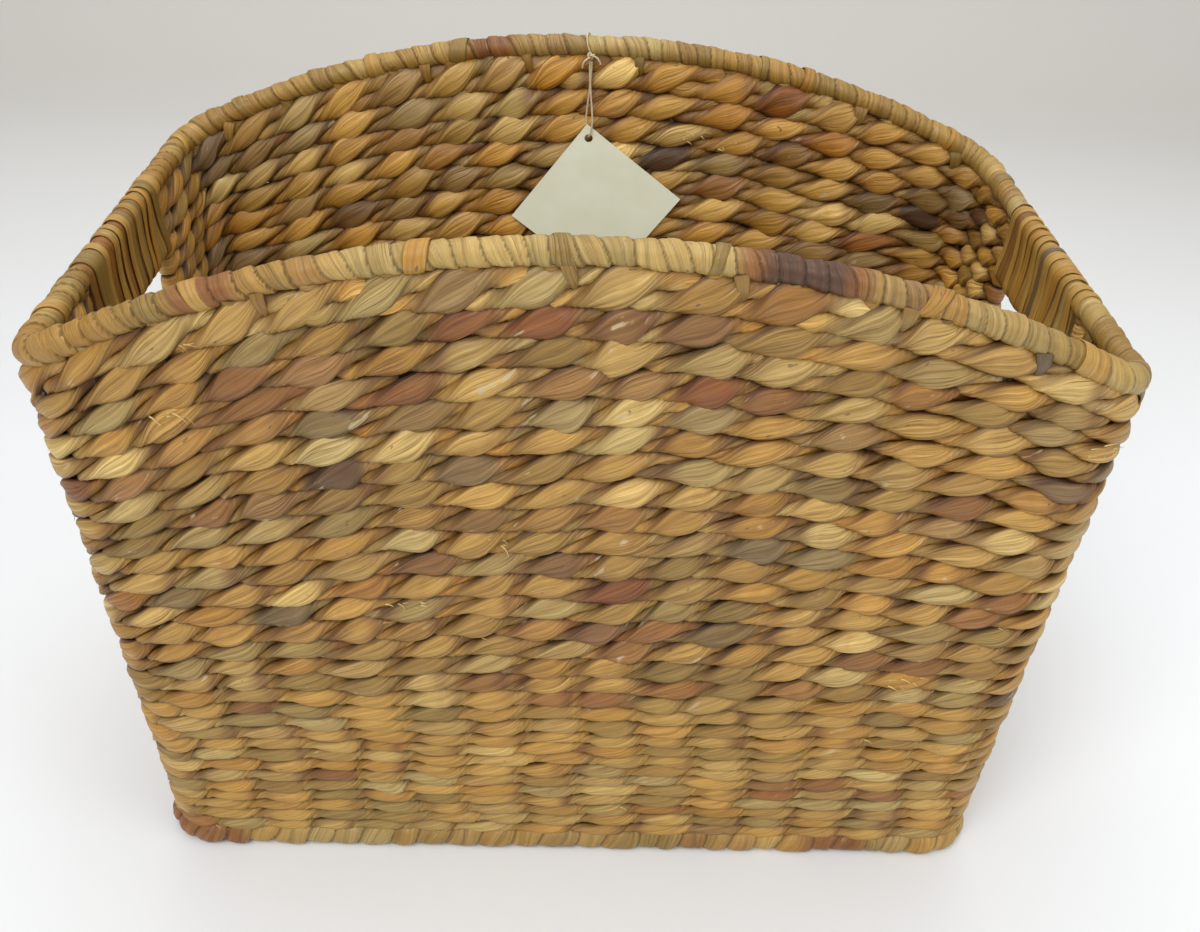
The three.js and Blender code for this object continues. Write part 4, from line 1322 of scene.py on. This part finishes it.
def makeHandleWrap(side, sign):
    rng = np.random.default_rng(33 if side == "right" else 34)
    middle = (wound["gripLow"] + wound["gripHigh"]) / 2
    wide, _ = leanShares(middle)
    y = np.linspace(-wound["gripReach"], wound["gripReach"], round(2 * wound["gripReach"] / wound["step"]))
    line = np.stack([0 * y + sign * wall["rimWidth"] / 2 * wide, y, 0 * y + middle], -1)
    rise = wall["cornerHeight"] - wall["hoopHeight"]
    out = (wall["rimWidth"] - wall["baseWidth"]) / 2
    upwards = np.broadcast_to(unit(np.array([sign * out, 0, rise])), line.shape)
    sideways = np.broadcast_to(unit(np.array([sign * rise, 0, -out])), line.shape)
    path = line, sideways, upwards
    reach = (wound["gripHigh"] - wound["gripLow"]) / 2
    section = webSection(wound["gripHalf"], wound["gripWaist"], reach, wound["gripSides"])
    grids = [woundGrid(rng, path, section, "grip", "end")]
    stray = loose["gripStray"]
    for at in np.arange(*loose["gripPlaces"]):
        grids.append(looseTurn(rng, path, section, at + rng.uniform(-stray, stray)))
    name = f"handleWrap{side.capitalize()}"
    makePiece(name, grids, wrapLeaf, replaced=[f"handle_wrap_{side}"])


def makeBaseWrap():
    rng = np.random.default_rng(35)
    along = np.arange(0, roundWall, wound["step"] * wound["baseStep"])
    x, y, outX, outY = planAt(along)
    line = onWall(x, y, outX, outY, 0 * x + wound["baseHalf"][1], wound["baseOut"])
    sideways = np.stack([outX, outY, 0 * outX], -1)
    upwards = np.broadcast_to(np.array([0.0, 0.0, 1.0]), line.shape)
    section = ovalSection(*wound["baseHalf"], wound["baseSides"])
    grid = woundGrid(rng, (line, sideways, upwards), section, "base", "base")
    grid["points"][..., 2] = np.clip(grid["points"][..., 2], 0.0, None)
    grid["closedRows"] = True
    makePiece("baseWrap", [grid], wrapLeaf, replaced=["base_wrap"])


# Leaf wound round the tops of the uprights, where they show between the top course and the rim
sleeves = {
    "nearPost": 0.002,  # the posts have a sleeve each, and the uprights between them at an end have none
    "foot": 0.008,  # under the wall's top
    "top": 0.0035,  # under the rim wire
    "radius": 0.0032,
    "sides": 14,
    "flare": 0.5,
    "flareFrom": 0.35,
}


def makeSleeves():
    rng = np.random.default_rng(38)
    section = ovalSection(sleeves["radius"], sleeves["radius"], sleeves["sides"])
    grids = []
    for a in uprights:
        if min(a % (roundWall / 2), -a % (roundWall / 2)) < wall["postReach"] - sleeves["nearPost"]:
            continue
        x, y, outX, outY = planAt(a)
        foot, top = courseHeight(wall["courseCount"], x) - sleeves["foot"], rimHeight(x) - sleeves["top"]
        z = np.linspace(foot, top, max(4, round((top - foot) / wound["step"])))
        line = onWall(x + 0 * z, y + 0 * z, outX, outY, z, 0)
        sideways = np.broadcast_to(np.array([outX, outY, 0.0]), line.shape)
        upwards = np.broadcast_to(np.array([-outY, outX, 0.0]), line.shape)
        swell = 1 + sleeves["flare"] * smooth(sleeves["flareFrom"], 1.0, (z - foot) / (top - foot))
        grids.append(woundGrid(rng, (line, sideways, upwards), section, "sleeve", "end", swell))
    makePiece("stakeSleeves", grids, wrapLeaf)


makeSleeves()
for side in ("front", "back"):
    makeRimWrap(side)
makeHandleWrap("right", 1)
makeHandleWrap("left", -1)
makeBaseWrap()
print("basket: rim, hand-holes and base wound")


# Woven base: twined rows along the basket, on the cross wires

baseWeave = {
    "rows": 18,
    "inset": 0.0053,  # inside the wound base edge
    "spaces": 14,
    "stepsPerSpace": 8,
    "sides": 14,
    "outerFace": 0.0039,
    "thin": (0.0016, 0.0023),  # half a strand's thickness at a bead and at a crossing
    "crossingOffset": 0.0027,  # how far the two strands part where they cross
    "placeStray": 0.0014,
    "wide": 0.55,  # half a strand's width at a bead, as a share of a row
    "pinch": 0.45,  # how much narrower it is at a crossing
    "wideStray": 0.08,
    "squareness": 0.85,
    "lowest": 0.0003,
    "tone": (0.85, 1.08),
    "grain": 4.0,
}


# Each row is two strands that turn round each other, half a turn in each space: each lies on the base's top
# and on its underside by turns, and they cross between. The first and last rows end where the base's round
# corners do.
def makeBaseWeave():
    rng = np.random.default_rng(36)
    halfWide = wall["baseWidth"] / 2 - baseWeave["inset"]
    halfDeep = wall["baseDepth"] / 2 - baseWeave["inset"]
    pitch = 2 * halfDeep / baseWeave["rows"]
    corner = wall["cornerRadius"] - baseWeave["inset"]
    count = baseWeave["spaces"]
    around = ringAngles(baseWeave["sides"])
    squared = squareCos(around, baseWeave["squareness"])
    atBead, atCrossing = baseWeave["thin"]
    s = np.arange(count * baseWeave["stepsPerSpace"] + 1) / baseWeave["stepsPerSpace"]
    grids = []
    for row in range(baseWeave["rows"]):
        y = -halfDeep + (row + 0.5) * pitch
        intoCorner = max(0.0, abs(y) - (halfDeep - corner))
        reach = halfWide - corner + math.sqrt(corner**2 - intoCorner**2)
        x = (2 * s / count - 1) * reach + beadValues(rng, s, count, baseWeave["placeStray"])
        for ply in (0, 1):
            phase = strandTurn(s) + math.pi * ply
            turnCos, turnSin = np.cos(phase), np.sin(phase)
            wide = baseWeave["wide"] * pitch * (1 - baseWeave["pinch"] * turnSin**2)
            wide = wide * (1 + beadValues(rng, s, count, baseWeave["wideStray"]))
            thin = (atBead * turnCos**2 + atCrossing * turnSin**2)[:, None]
            reachUp = baseWeave["outerFace"] - thin
            across = wide[:, None] * np.sin(around)
            deep = thin * squared
            up = (reachUp + deep) * turnCos[:, None] - across * turnSin[:, None]
            side = (baseWeave["crossingOffset"] + deep) * turnSin[:, None] + across * turnCos[:, None]
            z = np.maximum(wall["hoopHeight"] + up, baseWeave["lowest"])
            points = np.stack([x[:, None] + 0 * up, y + side, z], -1)
            beads = pickLeaves(rng, count + 1, insideShares)
            beads = beads * rng.uniform(*baseWeave["tone"], (count + 1, 1))
            colour = colourAlong(rng, s, count, beads, False)
            fibre = leafTube(rng, 1000 * x, around, baseWeave["grain"])
            grids.append({"points": points, "colour": colour[:, None], "fibre": fibre})
    makePiece("baseWeave", grids, courseLeaf, replaced=["base_weave"])


makeBaseWeave()
print("basket: base woven")


# Frayed ends: narrow torn tongues of leaf that stand a little off the wall

frays = {
    "count": 34,
    "length": (0.002, 0.0065),
    "width": (0.0004, 0.0011),
    "thick": 0.00025,
    "steps": 9,
    "foot": 0.0007,  # how far under the strands' outer face it starts
    "lift": 0.0016,
    "liftShare": (0.3, 1),
    "tipThin": 0.4,  # how much thinner and narrower its tip is
    "tipNarrow": 0.85,
    "turn": 0.5,  # how far it turns up or down the wall at first, in radians, and how far it bends
    "bend": 1.0,
    "droop": 0.15,
    "placeStray": (0.009, 0.003),
    "shares": {"pale": 0.6, "straw": 0.3, "rust": 0.1},
    "tornTone": (0.95, 1.15),
    # Torn places: side of the wall, x and z, and how many tongues
    "torn": [
        ("front", -0.153, 0.306, 7), ("front", -0.162, 0.270, 8), ("front", -0.076, 0.172, 9),
        ("front", 0.205, 0.264, 10), ("front", -0.040, 0.210, 5), ("front", -0.185, 0.012, 8),
        ("back", 0.075, 0.296, 9), ("back", 0.052, 0.300, 6), ("front", 0.150, 0.130, 6),
    ],
}


# A torn tongue: it follows the leaf for a way, then curls off the wall and droops
def frayGrid(rng, along, z, face, colour):
    length, width = rng.uniform(*frays["length"]), rng.uniform(*frays["width"])
    turned = rng.uniform(-frays["turn"], frays["turn"])
    t = np.linspace(0, 1, frays["steps"] + 1)
    bend = turned + rng.uniform(-frays["bend"], frays["bend"]) * t
    step = length / frays["steps"]
    x, y, outX, outY = planAt(along + face * step * np.cumsum(np.cos(bend)))
    off = strand["outerFace"] - frays["foot"] + frays["lift"] * t**1.5 * rng.uniform(*frays["liftShare"])
    z = z + step * np.cumsum(np.sin(bend)) - frays["droop"] * length * t**2
    line = onWall(x, y, outX, outY, z, face * off)
    facing = np.stack([outX, outY, 0 * outX], -1) * face
    width = width * (1 - frays["tipNarrow"] * t**1.5)
    thick = frays["thick"] * (1 - frays["tipThin"] * t)
    return ribbonGrid(rng, line, facing, width, thick, colour)


def makeFrays():
    rng = np.random.default_rng(37)
    aside, above = frays["placeStray"]
    grids = []
    for side, x, z, count in frays["torn"]:
        face, middle = (1, roundWall * 0.75) if side == "front" else (-1, roundWall * 0.25)
        for _ in range(count):
            along = middle + face * x / leanShares(z)[0] + rng.uniform(-aside, aside)
            colour = leaf["pale"] * rng.uniform(*frays["tornTone"])
            grids.append(frayGrid(rng, along, z + rng.uniform(-above, above), face, colour))
    for _ in range(frays["count"]):
        along, level = rng.uniform(0, roundWall), rng.integers(1, wall["ringCount"])
        z = float(courseHeight(level, planAt(along)[0])) + rng.uniform(-above, above)
        colour = pickLeaves(rng, 1, frays["shares"])[0]
        grids.append(frayGrid(rng, along, z, rng.choice([1, 1, -1]), colour))
    makePiece("frayedEnds", grids, wrapLeaf)


makeFrays()
print("basket: frayed ends drawn")


# Light and backdrop

studio = {
    "floorColour": litColour(0.945, 0.955, 0.965),
    "farColour": litColour(0.82, 0.81, 0.79),  # the backdrop behind the basket, greyer than the floor: painted shade towards the back
    "farFrom": (0.25, 1.1),  # the floor's colour gives way to it between these places
    "roughness": 0.8,
    "half": 3.0,  # half the floor's width
    "near": -2.5,
    "far": 1.0,  # the floor bends up to the backdrop from here
    "bend": 0.35,
    "top": 2.2,
    "bendSteps": 24,
    "aim": (0.0, 0.0, 0.15),  # the lamps look at this place
    "key": {"place": (-0.55, -1.2, 1.7), "size": 1.2, "watts": 20},
    "fill": {"place": (1.3, -0.8, 1.0), "size": 1.2, "watts": 6},
    "over": {"place": (0.0, 0.4, 1.8), "size": 1.6, "watts": 12.5},
    "world": 0.45,
}


# The floor is a line that runs back, bends up through a quarter circle and rises, drawn out sideways
def makeStudio():
    material, on, shader = newMaterial("paleFloor")
    depth = on.add("SeparateXYZ", {"Vector": on.add("TexCoord").outputs["Object"]}).outputs["Y"]
    tones = (*studio["floorColour"], 1), (*studio["farColour"], 1)
    # Painted shade: the floor's colour greys towards the back
    tone = on.mixed("MIX", on.ranged(depth, *studio["farFrom"]), *tones)
    on.wire(shader, {"Base Color": tone, "Roughness": studio["roughness"]})
    turn = np.linspace(0, math.pi / 2, studio["bendSteps"] + 1)
    far, bend = studio["far"], studio["bend"]
    profile = np.concatenate([
        [[studio["near"], 0.0]],
        np.stack([far + bend * np.sin(turn), bend * (1 - np.cos(turn))], -1),
        [[far + bend, studio["top"]]],
    ])
    points = np.array([[(x, *place) for x in (-studio["half"], studio["half"])] for place in profile])
    i = 2 * np.arange(len(profile) - 1)
    faces = np.stack([i, i + 1, i + 3, i + 2], -1)
    mesh = bpy.data.meshes.new("floor")
    mesh.from_pydata(points.reshape(-1, 3).tolist(), [], faces.tolist())
    mesh.polygons.foreach_set("use_smooth", np.ones(len(faces), bool))
    mesh.materials.append(material)
    floor = bpy.data.objects.new("floor", mesh)
    bpy.context.scene.collection.objects.link(floor)
    for name in ("key", "fill", "over"):
        lamp = studio[name]
        data = bpy.data.lights.new(name + "Light", "AREA")
        data.shape = "DISK"
        data.size = lamp["size"]
        data.energy = lamp["watts"]
        light = bpy.data.objects.new(name + "Light", data)
        bpy.context.scene.collection.objects.link(light)
        light.location = lamp["place"]
        aim = Vector(studio["aim"]) - Vector(lamp["place"])
        light.rotation_mode = "QUATERNION"
        light.rotation_quaternion = aim.to_track_quat("-Z", "Y")
    world = bpy.data.worlds.new("softWorld")
    bpy.context.scene.world = world
    world.use_nodes = True
    sky = world.node_tree.nodes["Background"]
    sky.inputs["Color"].default_value = (1.0, 1.0, 1.0, 1)
    sky.inputs["Strength"].default_value = studio["world"]


makeStudio()
bpy.context.scene.view_settings.view_transform = "Standard"
print("basket: studio lit")
